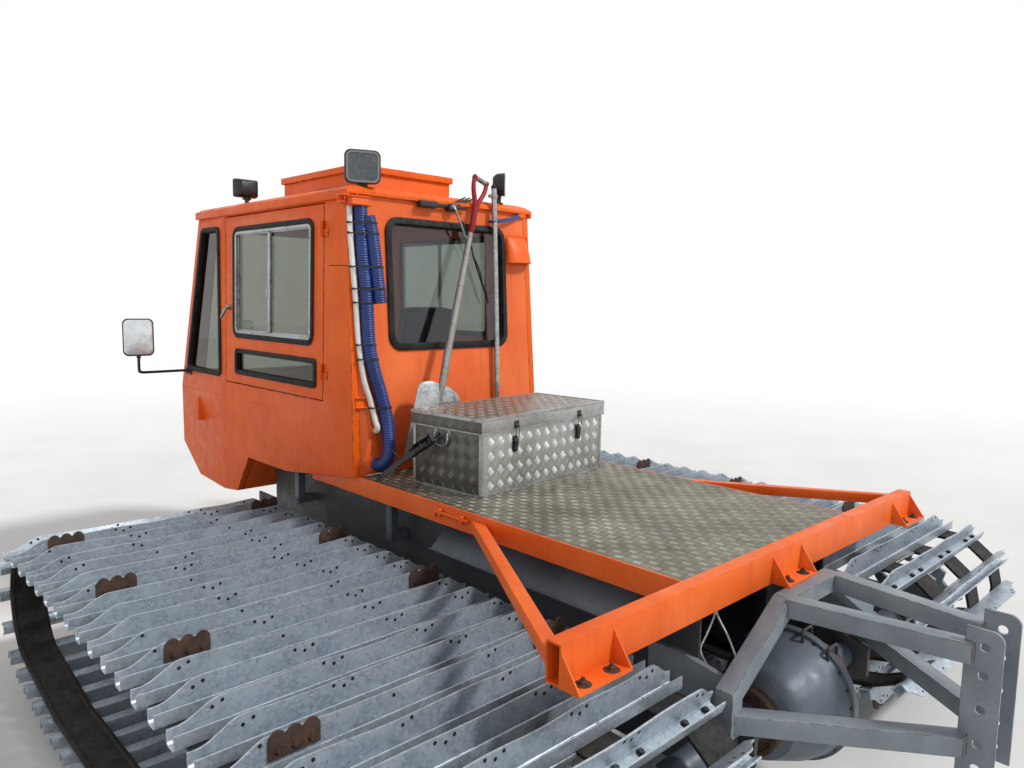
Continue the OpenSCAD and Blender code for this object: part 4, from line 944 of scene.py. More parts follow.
def hoses():
    hose = in_corner(HOSE) + [rear_point(0.520, 1.058, 0.049), rear_point(0.520, 1.058, 0.0143)]
    conduit = in_corner(CONDUIT) + [rear_point(0.519, 1.230, 0.028), rear_point(0.519, 1.230, 0.0103)]
    stub = in_corner(STUB)
    main, white, spare, ties = Shape(), Shape(), Shape(), Shape()
    ribbed(main, hose)
    ribbed(spare, stub)
    white.wire(conduit, CONDUIT_R, 6, 14)
    fine_hose, fine_conduit, fine_stub = (smooth_path(route, 6) for route in (hose, conduit, stub))
    for z in TIE_Z:
        rounds = [(at_height(fine_hose, z), HOSE_R), (at_height(fine_conduit, z), CONDUIT_R)]
        if z > 1.90:
            rounds.append((at_height(fine_stub, z), HOSE_R))
        tie_band(ties, rounds, z)
        head = at_height(fine_conduit, z) + Vector((-0.006, 0.018, 0.0035))
        ties.block(at(*head), (0.010, 0.008, 0.011), 0.001)
    tail = at_height(fine_conduit, LONG_TIE_Z) + Vector((-0.004, 0.016, 0.003))
    ties.wire([(0, 0, 0), (-0.010, 0.05, 0.004), (-0.018, 0.13, 0.0)], 0.0024, 5, 6, at(*tail))
    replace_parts(main.piece("ribbed_hose", BLUE, smooth=60, slot="blue_hose"), "vent_hose")
    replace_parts(white.piece("white_pipe", WHITE, smooth=60, slot="white_conduit"), "conduit")
    spare.piece("ribbed_hose_stub", BLUE, smooth=60, slot="blue_hose")
    ties.piece("hose_ties", DARK, slot="black_plastic")


def rear_brackets():
    orange = Shape()
    for z, up in ((2.376, 1), (2.339, -1)):
        orange.block(on_rear(0.586, z, 0.036), (0.116, 0.006, 0.082), 0.002)
        for y in (0.545, 0.627):
            orange.bolt(facing(rear_point(y, z, 0.055) + Vector((0, 0, up * 0.003)), (0, 0, up)), 0.006, 0.005)
    bracket = on_rear(0.566, 1.375)
    for y, z, wide, deep in ((0, 0.002, 0.052, 0.004), (0.024, 0.010, 0.004, 0.018), (-0.024, 0.010, 0.004, 0.018)):
        orange.block(bracket @ at(0, y, z), (0.110, wide, deep), 0.001)
    # Cowl over an air outlet: flat to the wall at its top, open and deep at its bottom
    cowl = on_rear(-0.513, 2.180)

    def arch(half, deep):
        turns = [math.pi * k / 16 for k in range(17)]
        return [(half * math.cos(a), deep * abs(math.sin(a)) ** 0.55) for a in turns]
    rings = []
    for t in (0, 0.1, 0.3, 0.6, 1.0):
        outer = arch(0.076 + 0.020 * t, 0.016 + 0.050 * math.sin(t * math.pi / 2))
        inner = [(x * 0.965, z - 0.0025 if z > 0.0025 else 0.0) for x, z in reversed(outer)]
        rings.append([cowl @ Vector((x, 0.074 - 0.148 * t, z)) for x, z in outer + inner])
    orange.loft(rings)
    orange.loft([[cowl @ Vector((x, y, z)) for x, z in arch(0.076, 0.016)] for y in (0.0745, 0.0725)])
    orange.ring(cowl @ at(0, 0.004, 0), rounded(0.178, 0.160, 0.012), [(0, 0), (0, 0.003), (0.012, 0.003), (0.012, 0)])
    orange.piece("rear_brackets", CAB_ORANGE, slot="orange_paint")


def wiper():
    """Rear wiper: motor bar under the roof's edge, a sprung arm and a jointed blade on the pane."""
    black, steel = Shape(), Shape()
    black.block(on_rear(0.030, 2.390, 0.026), (0.300, 0.016, 0.012))
    black.block(on_rear(0.150, 2.386, 0.030), (0.120, 0.034, 0.040), 0.006)
    black.block(on_rear(-0.012, 2.383, 0.024), (0.052, 0.040, 0.046), 0.006)
    steel.bolt(on_rear(-0.012, 2.383, 0.047), 0.011, 0.012)
    arm = [rear_point(-0.012, 2.375, 0.058), rear_point(-0.070, 2.270, 0.050), rear_point(-0.140, 2.140, 0.036)]
    steel.wire(arm, lambda t: 0.007 - 0.003 * t, 6)
    top, bottom = rear_point(-0.094, 2.320, 0.018), rear_point(-0.268, 1.872, 0.018)
    black.tube([top.lerp(bottom, t / 8) for t in range(9)], 0.0055, 8)
    normal = on_rear(0, 2.0).to_3x3().col[2]
    for t0, t1 in ((0.05, 0.42), (0.40, 0.78), (0.72, 0.97)):
        a, b = top.lerp(bottom, t0), top.lerp(bottom, t1)
        black.wire([a, a.lerp(b, 0.5) + normal * 0.016, b], 0.0035, sides=6)
    for k in (0.03, 0.06, 0.09):
        black.tube([rear_point(0.03 - k, 2.400, 0.02), rear_point(-0.10 - k, 2.452, 0.010)], 0.0045, 6)
    black.piece("rear_wiper_black", DARK, slot="black_plastic")
    steel.piece("rear_wiper_arm", BARE, slot="bare_steel")


def strap():
    """Flat webbing from the pole to a hook near the roof's corner."""
    web, hook = Shape(), Shape()
    a, b = rear_point(-0.318, 2.332, 0.050), rear_point(-0.545, 2.388, 0.016)
    rings = []
    for t in [k / 8 for k in range(9)]:
        p = a.lerp(b, t) + Vector((0, 0, -0.008 * math.sin(math.pi * t)))
        twist = Vector((0.25 * math.sin(3 * t), 0, 1)).normalized() * 0.012
        thick = Vector((-0.0016, 0, 0))
        rings.append([p - twist, p + twist, p + twist + thick, p - twist + thick])
    web.loft(rings)
    web.tube([rear_point(-0.309 + 0.02 * x, 2.332, 0.030 + 0.02 * y) for x, y in circle(16) + [(1, 0)]], 0.006, 6)
    hook.block(on_rear(-0.560, 2.388, 0.010), (0.060, 0.022, 0.020), 0.004)
    hook.tube([rear_point(-0.552 + 0.012 * x, 2.388 + 0.014 * y, 0.016) for x, y in circle(12) + [(1, 0)]], 0.0035, 6)
    web.piece("pole_strap", BLUE, slot="blue_hose")
    hook.piece("pole_strap_hook", CAB_ORANGE, slot="orange_paint")


# Tread plates

BARS_PER_CELL = 5
DECK_CELL = 0.040
BOX_CELL = 0.0475
BAR_HIGH = 0.0013


def tread_bar(shape, m, u, v, turn, length):
    """Raised bar, pointed at both ends, with a ridge."""
    c, s = math.cos(turn), math.sin(turn)
    h, w, q = length / 2, length * 0.07, length * 0.28
    flat = [(-h, 0), (-q, -w), (q, -w), (h, 0), (q, w), (-q, w), (-q, 0), (q, 0)]
    levels = [-0.0002] * 6 + [BAR_HIGH] * 2
    shape.add([m @ Vector((u + a * c - b * s, v + a * s + b * c, z)) for (a, b), z in zip(flat, levels)],
              [(0, 1, 6), (1, 2, 7, 6), (2, 3, 7), (3, 4, 7), (4, 5, 6, 7), (5, 0, 6), (5, 4, 3, 2, 1, 0)])


def tread(shape, m, w, h, cell, turn=0.0, skip=None):
    """Groups of parallel bars in a checkerboard on a w by h rectangle, every other group crosswise."""
    c, s = math.cos(turn), math.sin(turn)
    reach = int((w + h) / cell) + 1
    length = cell * 0.74
    half = length / 2 + 0.002
    for i in range(-reach, reach + 1):
        for j in range(-reach, reach + 1):
            u0, v0 = (i + 0.5) * cell, (j + 0.5) * cell
            u, v = u0 * c - v0 * s, u0 * s + v0 * c
            if abs(u) > w / 2 + cell or abs(v) > h / 2 + cell or (skip and skip(u, v)):
                continue
            way = turn + (math.pi / 2 if (i + j) % 2 else 0)
            for k in range(BARS_PER_CELL):
                off = (k - (BARS_PER_CELL - 1) / 2) * cell * 0.165
                p, q = u - off * math.sin(way), v + off * math.cos(way)
                if (abs(p) + half * abs(math.cos(way)) < w / 2) and (abs(q) + half * abs(math.sin(way)) < h / 2):
                    tread_bar(shape, m, p, q, way, length)


def deck_tread():
    low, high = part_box("deck_plate")[0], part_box("deck_plate_front")[1]
    middle = (low + high) / 2
    inverse = BOX_PLACE.inverted()

    def under_box(u, v):
        place = inverse @ Vector((middle.x + u, middle.y + v, DECK_Z))
        return abs(place.x) < BOX_W / 2 - 0.03 and abs(place.y) < BOX_LEN / 2 - 0.03
    shape = Shape()
    tread(shape, at(middle.x, middle.y, DECK_Z), high.x - low.x, high.y - low.y, DECK_CELL, skip=under_box)
    shape.piece("deck_tread_bars", DECK_BARS, slot="chequer_plate")


# Toolbox fittings

def toolbox():
    body, lid, rims, lid_rim = Shape(), Shape(), Shape(), Shape()
    half_turn = math.pi / 4
    tread(lid, BOX_PLACE @ at(0, 0, BOX_H), BOX_W - 0.006, BOX_LEN - 0.006, BOX_CELL, half_turn)
    lip = (LID_LIP_Z + BOX_H) / 2 - 0.004
    for s in (-1, 1):
        for shape, out, z, less, high in ((body, 0, 0.148, 0.03, 0.276), (lid, LID_OUT, lip, 0, 0.056)):
            face = box_face(s * (BOX_W / 2 + out), 0, z, (s, 0, 0), (0, s, 0))
            tread(shape, face, BOX_LEN - less, high, BOX_CELL, half_turn)
            face = box_face(0, s * (BOX_LEN / 2 + out), z, (0, s, 0), (-s, 0, 0))
            tread(shape, face, BOX_W - less, high, BOX_CELL, half_turn)
    t, leg = 0.0014, 0.015
    for sx in (-1, 1):
        for sy in (-1, 1):
            x, y = sx * (BOX_W / 2 + t), sy * (BOX_LEN / 2 + t)
            angle = [(x - sx * a, y - sy * b) for a, b in ((0, 0), (leg, 0), (leg, t), (t, t), (t, leg), (0, leg))]
            rims.rise(BOX_PLACE, angle, [(1, 0.0005), (1, LID_LIP_Z + 0.020)])
    rims.ring(BOX_PLACE @ at(z=0.001), rounded(BOX_W, BOX_LEN, 0.001, 1), [(0, 0), (t, 0), (t, 0.010), (0, 0.010)])
    edge = rounded(BOX_W + 2 * LID_OUT, BOX_LEN + 2 * LID_OUT, 0.002, 2)
    lid_rim.ring(BOX_PLACE @ at(z=BOX_H), edge, [(0, -0.014), (t, -0.014), (t, 0.0002), (-0.0004, 0.0016),
                                                 (-0.012, 0.0016), (-0.012, 0), (0, 0)])
    lid_rim.ring(BOX_PLACE @ at(z=LID_LIP_Z), edge, [(0, 0), (0.002, 0), (0.002, 0.005), (0, 0.006)])
    body.piece("toolbox_tread_bars", BOX_BARS, slot="chequer_plate")
    rims.piece("toolbox_edges", BARE, slot="bare_steel")
    lid.piece("toolbox_lid_tread_bars", BOX_BARS, body="toolbox_lid", slot="chequer_plate")
    lid_rim.piece("toolbox_lid_edges", BARE, body="toolbox_lid", slot="bare_steel")


def latches():
    """Two over-centre catches on the rear face and a drop handle on each end."""
    catch, hook, handle = Shape(), Shape(), Shape()
    back = -BOX_W / 2
    for y in (-0.25, 0.24):
        m = box_face(back, y, 0.225, (-1, 0, 0), (0, -1, 0))
        catch.block(m @ at(0, 0, 0.0025), (0.034, 0.070, 0.003), 0.0012)
        catch.block(m @ at(0, -0.012, 0.011) @ spun(0.14, "X"), (0.026, 0.058, 0.005), 0.0018)
        catch.block(m @ at(0, 0.016, 0.009), (0.030, 0.010, 0.014), 0.002)
        catch.bolts(m, [(x, v, 0.004) for x in (-0.011, 0.011) for v in (0.028, -0.029)], 0.0035, 0.003)
        half = [(-0.011, 0.016, 0.014), (-0.011, 0.060, 0.020), (-0.008, 0.078, 0.022)]
        catch.wire(half + [(-x, v, z) for x, v, z in reversed(half)], 0.0019, 3, 6, m)
        n = box_face(back - LID_OUT, y, 0.316, (-1, 0, 0), (0, -1, 0))
        hook.block(n @ at(0, 0, 0.002), (0.032, 0.034, 0.003), 0.0012)
        hook.block(n @ at(0, -0.012, 0.008), (0.018, 0.004, 0.012), 0.001)
        hook.block(n @ at(0, -0.008, 0.0135), (0.018, 0.010, 0.003), 0.001)
    for s in (-1, 1):
        m = box_face(0.025, s * BOX_LEN / 2, 0.262, (0, s, 0), (-s, 0, 0))
        for x in (-0.042, 0.042):
            handle.block(m @ at(x, 0, 0.002), (0.022, 0.046, 0.003), 0.001)
            handle.block(m @ at(x, 0, 0.008), (0.012, 0.018, 0.012))
            handle.bolts(m, [(x, -0.016, 0.003), (x, 0.016, 0.003)], 0.0035, 0.003)
        half = [(-0.042, 0, 0.010), (-0.044, -0.022, 0.013), (-0.034, -0.044, 0.014)]
        handle.wire(half + [(0, -0.052, 0.014)] + [(-x, v, z) for x, v, z in reversed(half)], 0.0042, 4, 8, m)
    catch.piece("toolbox_catches", DARK_STEEL, slot="bare_steel")
    hook.piece("toolbox_catch_hooks", DARK_STEEL, body="toolbox_lid", slot="bare_steel")
    handle.piece("toolbox_handles", BARE, slot="bare_steel")


def ratchet():
    """Short taut lashing with a ratchet, from the box's handle to the deck's rail."""
    web, metal = Shape(), Shape()
    top = BOX_PLACE @ Vector((0.025, BOX_LEN / 2 + 0.022, 0.262))
    foot = Vector((0.100, 0.612, DECK_Z + 0.008))
    way = (foot - top).normalized()
    length = (foot - top).length
    out = Vector((-0.35, 0.85, 0.3))
    m = facing(top, way.cross(way.cross(out).cross(way)), way)

    def along(x, y=0.0, z=0.0):
        return m @ at(x, y, z)
    metal.wire([(0.03, 0, 0), (0.008, 0.002, 0), (-0.010, 0.006, 0), (-0.010, 0.020, 0), (0.004, 0.022, 0)],
               0.0042, 4, 8, m)
    metal.wire([(length - 0.05, 0, 0), (length - 0.02, -0.002, 0), (length + 0.006, -0.008, 0),
                (length + 0.012, -0.022, 0), (length - 0.006, -0.028, 0)], 0.0042, 4, 8, m)
    web.block(along(length / 2), (length - 0.07, 0.0035, 0.026), 0.0008)
    web.block(along(length * 0.42, 0.0075), (length * 0.5, 0.004, 0.026), 0.0008)
    for z in (-0.017, 0.017):
        metal.block(along(0.115, 0.006, z), (0.130, 0.030, 0.0025), 0.001)
        metal.block(along(0.085, 0.021, z * 1.15) @ spun(0.12, "Z"), (0.120, 0.020, 0.0022), 0.001)
    for x, r in ((0.060, 0.006), (0.110, 0.010), (0.165, 0.006)):
        metal.lathe(along(x, 0.006, -0.020), [(r, 0), (r, 0.040)], sides=14)
    metal.lathe(along(0.028, 0.026, -0.021), [(0.006, 0), (0.007, 0.008), (0.007, 0.034), (0.006, 0.042)], sides=12)
    for k in range(11):
        tooth = along(0.110, 0.006, 0.0205) @ spun(math.tau * k / 11, "Z") @ at(0.012)
        metal.block(tooth, (0.007, 0.004, 0.002), 0.0004)
    web.wire([(0.20, 0.004, 0.004), (0.24, 0.012, 0.01), (0.25, 0.02, 0.035), (0.27, 0.01, 0.07)], 0.0028, 5, 6, m)
    web.piece("lashing_web", DARK, slot="black_plastic")
    metal.piece("lashing_ratchet", DARK_STEEL, slot="bare_steel")


# Under the deck and behind it

GUARD_X = (-1.560, -0.330)
# Place across and height of the guard's two edges
GUARD_TOP = (0.480, 0.905)
GUARD_FOOT = (0.615, 0.775)
POSTS_X = (0.040, 0.945)
POST_Y = 0.560
POST_W = 0.045
POST_FOOT_Z = 0.720
# Outer face of the chassis side members
MEMBER_Y = 0.478
ARM_Z = 0.745
RAIL_Y = 0.621
FOOT_W = 0.225
FOOT_T = 0.008
FOOT_REACH = 0.066


def side_guards():
    """Sloping plate under each rail, and posts from the side member up to the rail."""
    plates = Shape()
    length = GUARD_X[1] - GUARD_X[0]
    for side in (1, -1):
        run = Vector((0, side * (GUARD_FOOT[0] - GUARD_TOP[0]), GUARD_FOOT[1] - GUARD_TOP[1]))
        middle = (sum(GUARD_X) / 2, side * (GUARD_TOP[0] + GUARD_FOOT[0]) / 2, (GUARD_TOP[1] + GUARD_FOOT[1]) / 2)
        m = facing(middle, Vector((1, 0, 0)).cross(run))
        plates.block(m, (length, run.length, 0.004), 0.001)
        plates.block(m @ at(0, run.length / 2 - 0.002, 0.010 * side), (length, 0.004, 0.022), 0.001)
        for x in [GUARD_X[0] + length * (k + 0.5) / 6 for k in range(6)]:
            plates.bolt(facing((x, side * (GUARD_TOP[0] + 0.012), GUARD_TOP[1] - 0.008), (0, side, 0.9)), 0.008, 0.006)
        top = DECK_Z - 0.0905
        arm = POST_Y - MEMBER_Y
        for x in POSTS_X:
            plates.block(at(x, side * POST_Y, (POST_FOOT_Z + top) / 2), (POST_W, POST_W, top - POST_FOOT_Z), 0.004)
            plates.block(at(x, side * (POST_Y - arm / 2), ARM_Z), (0.044, arm, 0.044), 0.004)
            for b in (-0.012, 0.012):
                plates.bolt(facing((x + b, side * (POST_Y + POST_W / 2), ARM_Z), (0, side, 0)), 0.007, 0.006)
    # The guards and posts take the darker grey: painted shade under the deck.
    plates.piece("side_guards", SHADED_UNDER_GREY, slot="grey_paint")


def rail_hook():
    """Rod held in two ears on the left rail."""
    hook = Shape()
    y, z = RAIL_Y + 0.012, 0.971
    for x in (-0.425, -0.575):
        hook.block(at(x, RAIL_Y + 0.010, z), (0.014, 0.024, 0.036))
    hook.wire([(-0.610, y, z), (-0.500, y, z), (-0.405, y, z), (-0.392, y, 0.964), (-0.390, y, 0.945)], 0.0065, 4, 10)
    hook.block(at(-0.505, RAIL_Y + 0.003, z), (0.120, 0.006, 0.030), 0.002)
    hook.piece("rail_hook", DECK_ORANGE, slot="orange_paint")


def cab_side_trim():
    """Bead along each side below the windows, the wedge-shaped guard near the nose, and the hoses' top clip."""
    trim, clip = Shape(), Shape()
    for side in (1, -1):
        trim.block(on_side(side, 1.802, 1.262, 0.0008), (1.210, 0.007, 0.0034), 0.0012)
        rings = []
        for z, out in ((1.212, 0.001), (1.205, 0.008), (1.075, 0.036), (1.068, 0.034)):
            x = 2.137 + (z - 1.140) * 0.55
            rings.append([on_side(side, x + dx, z, o).translation
                          for dx, o in ((-0.034, -0.001), (0.034, -0.001), (0.030, out), (-0.030, out))])
        trim.loft(rings)
    for z in (2.352, 2.386):
        clip.block(on_rear(0.610, z, 0.016), (0.125, 0.006, 0.034), 0.002)
    clip.block(on_rear(0.610, 2.369, 0.003), (0.135, 0.044, 0.007), 0.002)
    for y in (0.575, 0.645):
        clip.lathe(on_rear(y, 2.352, 0.020) @ spun(-math.pi / 2, "X"), [(0.005, -0.008), (0.005, 0.044)], sides=10)
    trim.piece("cab_side_trim", CAB_ORANGE, slot="orange_paint")
    # The top clip sits on the rear wall and takes its lighter orange: painted light.
    clip.piece("hose_clip_top", LIT_REAR_ORANGE, slot="orange_paint")


def beam_bolts():
    """Rusty bolts that hold fittings on the beam's three feet, and their stains."""
    low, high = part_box("deck_frame")
    shape = Shape()
    for middle in (high.y - FOOT_W / 2, 0, -high.y + FOOT_W / 2):
        for step in (-0.062, 0.058):
            m = at(low.x + FOOT_REACH * 0.5, middle + step, low.z + FOOT_T)
            shape.lathe(m, [(0.024, -0.001), (0.024, 0.0012)], sides=18)
            shape.bolt(m @ at(z=0.001), 0.0115, 0.011)
            shape.lathe(m, [(0.006, 0.010), (0.006, 0.019), (0.0045, 0.020)], sides=12)
    shape.piece("beam_foot_bolts", RUST, slot="bare_steel")


RING_BOLTS = 24
RING_BOLT_R = 0.232
RING_HALF = 0.017
HOOP_REACH = 0.247
LINE_TOP = (-1.600, 0.317, 0.880)


def axle_fittings():
    """Bolts round the drive housing, the rusty couplings beside it, its lifting hoops and the lines above."""
    bolts, rust, lines = Shape(), Shape(), Shape()
    drums = [(1, [(0.080, 0.270), (0.121, 0.284), (0.124, 0.290), (0.124, 0.322), (0.120, 0.327), (0.104, 0.328),
                  (0.101, 0.323), (0.088, 0.322), (0.085, 0.327), (0.062, 0.329)], 0.112, 0.327),
             (-1, [(0.078, 0.232), (0.106, 0.234), (0.110, 0.238), (0.110, 0.262), (0.106, 0.266), (0.092, 0.267),
                   (0.090, 0.263), (0.064, 0.262)], 0.099, 0.266)]
    for side, profile, r, face in drums:
        m = facing((SPROCKET_X, 0, SPROCKET_Z), (0, side, 0))
        bolts.bolt_circle(m, RING_BOLT_R, RING_HALF, RING_BOLTS, 0.0085, 0.009, start=0.5)
        rust.lathe(m, profile, sides=40)
        rust.bolt_circle(m, r, face, 12, 0.0065, 0.007)
    half = [(0.034, -0.020), (0.034, 0.016), (0.024, 0.028)]
    for x, y in ((-0.060, 0.010), (-0.150, -0.006)):
        m = at(SPROCKET_X + x, y, SPROCKET_Z + math.sqrt(HOOP_REACH ** 2 - x * x))
        bolts.wire([(0, a, b) for a, b in half + [(-a, b) for a, b in reversed(half)]], 0.0058, 4, 8, m)
    for route in ([(-1.600, 0.317, 0.800), (-1.585, 0.345, 0.720), (-1.576, 0.364, 0.668), (-1.590, 0.330, 0.600)],
                  [(-1.605, 0.312, 0.800), (-1.640, 0.290, 0.720), (-1.664, 0.275, 0.652), (-1.650, 0.240, 0.610)]):
        lines.wire([LINE_TOP] + route, 0.0038)
    bolts.piece("axle_bolts", DARK_STEEL, slot="bare_steel")
    rust.piece("axle_couplings", RUST, slot="bare_steel")
    lines.piece("axle_cables", WHITE, slot="white_conduit")


# Lamps and mirrors

# Place along the machine, place across, height, way it faces in degrees, width, height, radius of its corners
LAMPS = [(0.360, 0.515, 2.537, 155, 0.178, 0.164, 0.032), (0.362, -0.415, 2.556, 225, 0.128, 0.124, 0.034),
         (1.720, 0.480, 2.560, 0, 0.150, 0.112, 0.012), (1.720, -0.480, 2.560, 0, 0.150, 0.112, 0.012)]
LAMP_DEEP = 0.070
# A lamp lower than this has cooling fins on its back
FINNED = 0.115


def work_lamps():
    shells, rims, lenses, bowls = Shape(), Shape(), Shape(), Shape()
    for x, y, z, way, w, h, r in LAMPS:
        m = upright((x, y, z), (math.cos(math.radians(way)), math.sin(math.radians(way)), 0))
        front = LAMP_DEEP / 2
        flat = outline(w, h, r)
        shells.rise(m, flat, [(0.62, -front), (0.72, -front + 0.004), (0.90, -front * 0.45), (0.97, 0.0),
                              (0.985, front * 0.55), (1.0, front * 0.60), (1.0, front - 0.003), (0.975, front),
                              (0.90, front), (0.89, front - 0.010)])
        rims.ring(m, rounded(w * 0.88, h * 0.88, r * 0.8),
                  [(0.000, front - 0.011), (0.004, front - 0.002), (0.003, front + 0.0005), (-0.005, front + 0.0005),
                   (-0.008, front - 0.004), (-0.008, front - 0.011)])
        lenses.rise(m, flat, [(0.86, front - 0.006), (0.86, front - 0.003), (0.70, front - 0.0005),
                              (0.35, front + 0.0005)])
        bowls.rise(m, flat, [(0.86, front - 0.0075), (0.70, front - 0.0078), (0.60, front - 0.0090),
                             (0.30, front - 0.0096)])
        for k in range(9 if h < FINNED else 0):
            shells.block(m @ at((k - 4) * w * 0.094, 0, -front + 0.008), (0.004, h * 0.80, 0.016), 0.001)
        stem = z - h / 2 - ROOF_TOP
        shells.lathe(at(x, y, ROOF_TOP), [(0.026, 0), (0.026, 0.006), (0.014, 0.009), (0.012, stem + 0.004)], sides=20)
        for s in (-1, 1):
            shells.block(m @ at(s * 0.020, -h / 2 - 0.002, 0), (0.006, 0.030, 0.028), 0.002)
        rims.bolt(m @ facing((0.023, -h / 2 - 0.005, 0), (1, 0, 0), (0, 1, 0)), 0.007, 0.006)
    shells.wire([(0.395, 0.525, 2.490), (0.420, 0.500, 2.462), (0.470, 0.520, 2.4505), (0.560, 0.560, 2.4495),
                 (0.700, 0.575, 2.449)], 0.0035, sides=6)
    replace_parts(shells.piece("work_lamp_shells", DARK, slot="black_plastic"), "work_lamps")
    rims.piece("work_lamp_rims", GREY_PLASTIC, slot="grey_plastic")
    lenses.piece("work_lamp_lenses", LENS, slot="window_glass")
    bowls.piece("work_lamp_bowls", LAMP_BOWL, slot="bare_steel")


MIRROR_X, MIRROR_Y, MIRROR_FOOT_Z = 2.310, 0.965, 1.490
MIRROR_W, MIRROR_H = 0.185, 0.243
MIRROR_TURN = math.radians(-10)
ARM_FOOT_Z = 1.380


def mirrors():
    shells, glasses = Shape(), Shape()
    x, y = MIRROR_X, MIRROR_Y
    flat = outline(MIRROR_W, MIRROR_H, 0.034, 8)
    for side in (1, -1):
        m = upright((x, side * y, MIRROR_FOOT_Z + MIRROR_H / 2),
                    (-math.cos(MIRROR_TURN), -side * math.sin(MIRROR_TURN), 0))
        shells.rise(m, flat, [(0.50, -0.0195), (0.80, -0.015), (0.95, -0.004), (1.0, 0.008), (1.0, 0.017),
                              (0.985, 0.0195), (0.95, 0.0195), (0.94, 0.0165)])
        glasses.rise(m, flat, [(0.937, 0.0170), (0.937, 0.0178), (0.90, 0.0184)])
        shells.wire([(x, side * (side_y(ARM_FOOT_Z) + 0.006), ARM_FOOT_Z), (x, side * (y - 0.05), ARM_FOOT_Z),
                     (x, side * (y - 0.012), 1.384), (x, side * y, 1.400), (x, side * y, 1.520)], 0.009, 6, 12)
        plate = on_side(side, x, ARM_FOOT_Z, 0.004)
        shells.rise(plate, outline(0.090, 0.060, 0.010), [(1, -0.0038), (1, 0.004)])
        shells.bolts(plate, [(-0.032, 0, 0.004), (0.032, 0, 0.004)], 0.007, 0.006)
        shells.lathe(plate, [(0.016, 0.004), (0.016, 0.016), (0.011, 0.022)], sides=16)
        shells.lathe(at(x, side * y, 1.474), [(0.013, 0), (0.013, 0.022)], sides=14)
    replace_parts(shells.piece("mirror_shells", DARK, slot="black_plastic"), "mirrors")
    glasses.piece("mirror_glasses", MIRROR_GLASS, slot="window_glass")


# Shovel and pole

SHOVEL_R = 0.017
SHOVEL_FOOT = Vector((0.084, 0.330, DECK_Z))
BLADE_W, BLADE_H, BLADE_T = 0.290, 0.420, 0.003
POLE_R = 0.016
POLE_FOOT = Vector((0.215, -0.305, DECK_Z))
POLE_LENGTH = 1.532
ROOF_EDGE_Z = ROOF_TOP - 0.030
ROOF_REAR = 0.310


def leaning(foot, top_y, r):
    """Matrix at foot whose Z runs up a round bar of radius r that leans on the roof's rear edge at top_y."""
    top = Vector((ROOF_REAR - SEAT - 1.02 * r, top_y, ROOF_EDGE_Z))
    return turned_to(foot, (top - foot).normalized())


def half_width(z):
    """Half width of the blade: round shoulders at its top, straight below."""
    bend = 0.06
    down = min((BLADE_H - z) / bend, 1)
    return BLADE_W / 2 * (0.45 + 0.55 * math.sqrt(max(0, 1 - (1 - down) ** 2)))


def shovel():
    m = leaning(SHOVEL_FOOT, -0.180, SHOVEL_R)
    way = m.to_3x3().col[2]
    lift = (BLADE_W / 2 * abs(way.y) + 0.004 * abs(way.x) + SEAT) / way.z
    steel, blade, red = Shape(), Shape(), Shape()
    cols, rows = 17, 22
    rings = []
    for z in [BLADE_H * j / (rows - 1) for j in range(rows)]:
        front = []
        for u in [-1 + 2 * i / (cols - 1) for i in range(cols)]:
            curl = 0.004 - 0.016 * (1 - u * u) * min(1, 4 * (1 - z / BLADE_H) + 0.35)
            front.append((curl, u * half_width(z), lift + z))
        rings.append([m @ Vector(p) for p in front + [(x - BLADE_T, y, h) for x, y, h in reversed(front)]])
    blade.loft(rings)
    neck = lift + BLADE_H
    shaft = [(neck - 0.165, 0.008), (neck - 0.05, 0.014), (neck + 0.02, 0.0215), (neck + 0.16, 0.0215),
             (1.10, 0.0195), (1.36, 0.0165), (1.40, 0.0165)]
    steel.loft([[m @ Vector((-0.006 * (z < 0.5) + 0.9 * r * x, r * y, z)) for x, y in circle(16)] for z, r in shaft])
    for down in (0.055, 0.115):
        for y in (-0.022, 0.022):
            steel.lathe(m @ facing((-0.010, y, neck - down), (-1, 0, 0), (0, 1, 0)),
                        [(0.006, -0.010), (0.006, 0.002), (0.004, 0.004)], sides=10)
    red.lathe(m, [(0.0160, 1.34), (0.0176, 1.345), (0.0176, 1.46), (0.0190, 1.515)], sides=16)
    for s in (-1, 1):
        arm = [(0, 0.002 * s, 1.485), (0, 0.014 * s, 1.530), (0, 0.036 * s, 1.585), (0, 0.045 * s, 1.625),
               (0, 0.045 * s, 1.662)]
        red.wire(arm, lambda q: 0.0145 - 0.003 * q, 5, 12, m)
        red.lathe(m @ facing((0, 0.045 * s, 1.660), (0, 1, 0)), [(0.0155, -0.007), (0.0165, 0), (0.0155, 0.007)],
                  sides=18)
    grip = [(0.0125, -0.052), (0.0140, -0.044), (0.0135, -0.03), (0.0140, 0), (0.0135, 0.03), (0.0140, 0.044),
            (0.0125, 0.052)]
    steel.lathe(m @ facing((0, 0, 1.660), (0, 1, 0)), grip, sides=18)
    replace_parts(blade.piece("shovel_blade", BARE, slot="bare_steel"), "shovel")
    steel.piece("shovel_shaft", DULL_STEEL, slot="bare_steel")
    red.piece("shovel_fork", RED, slot="bare_steel")


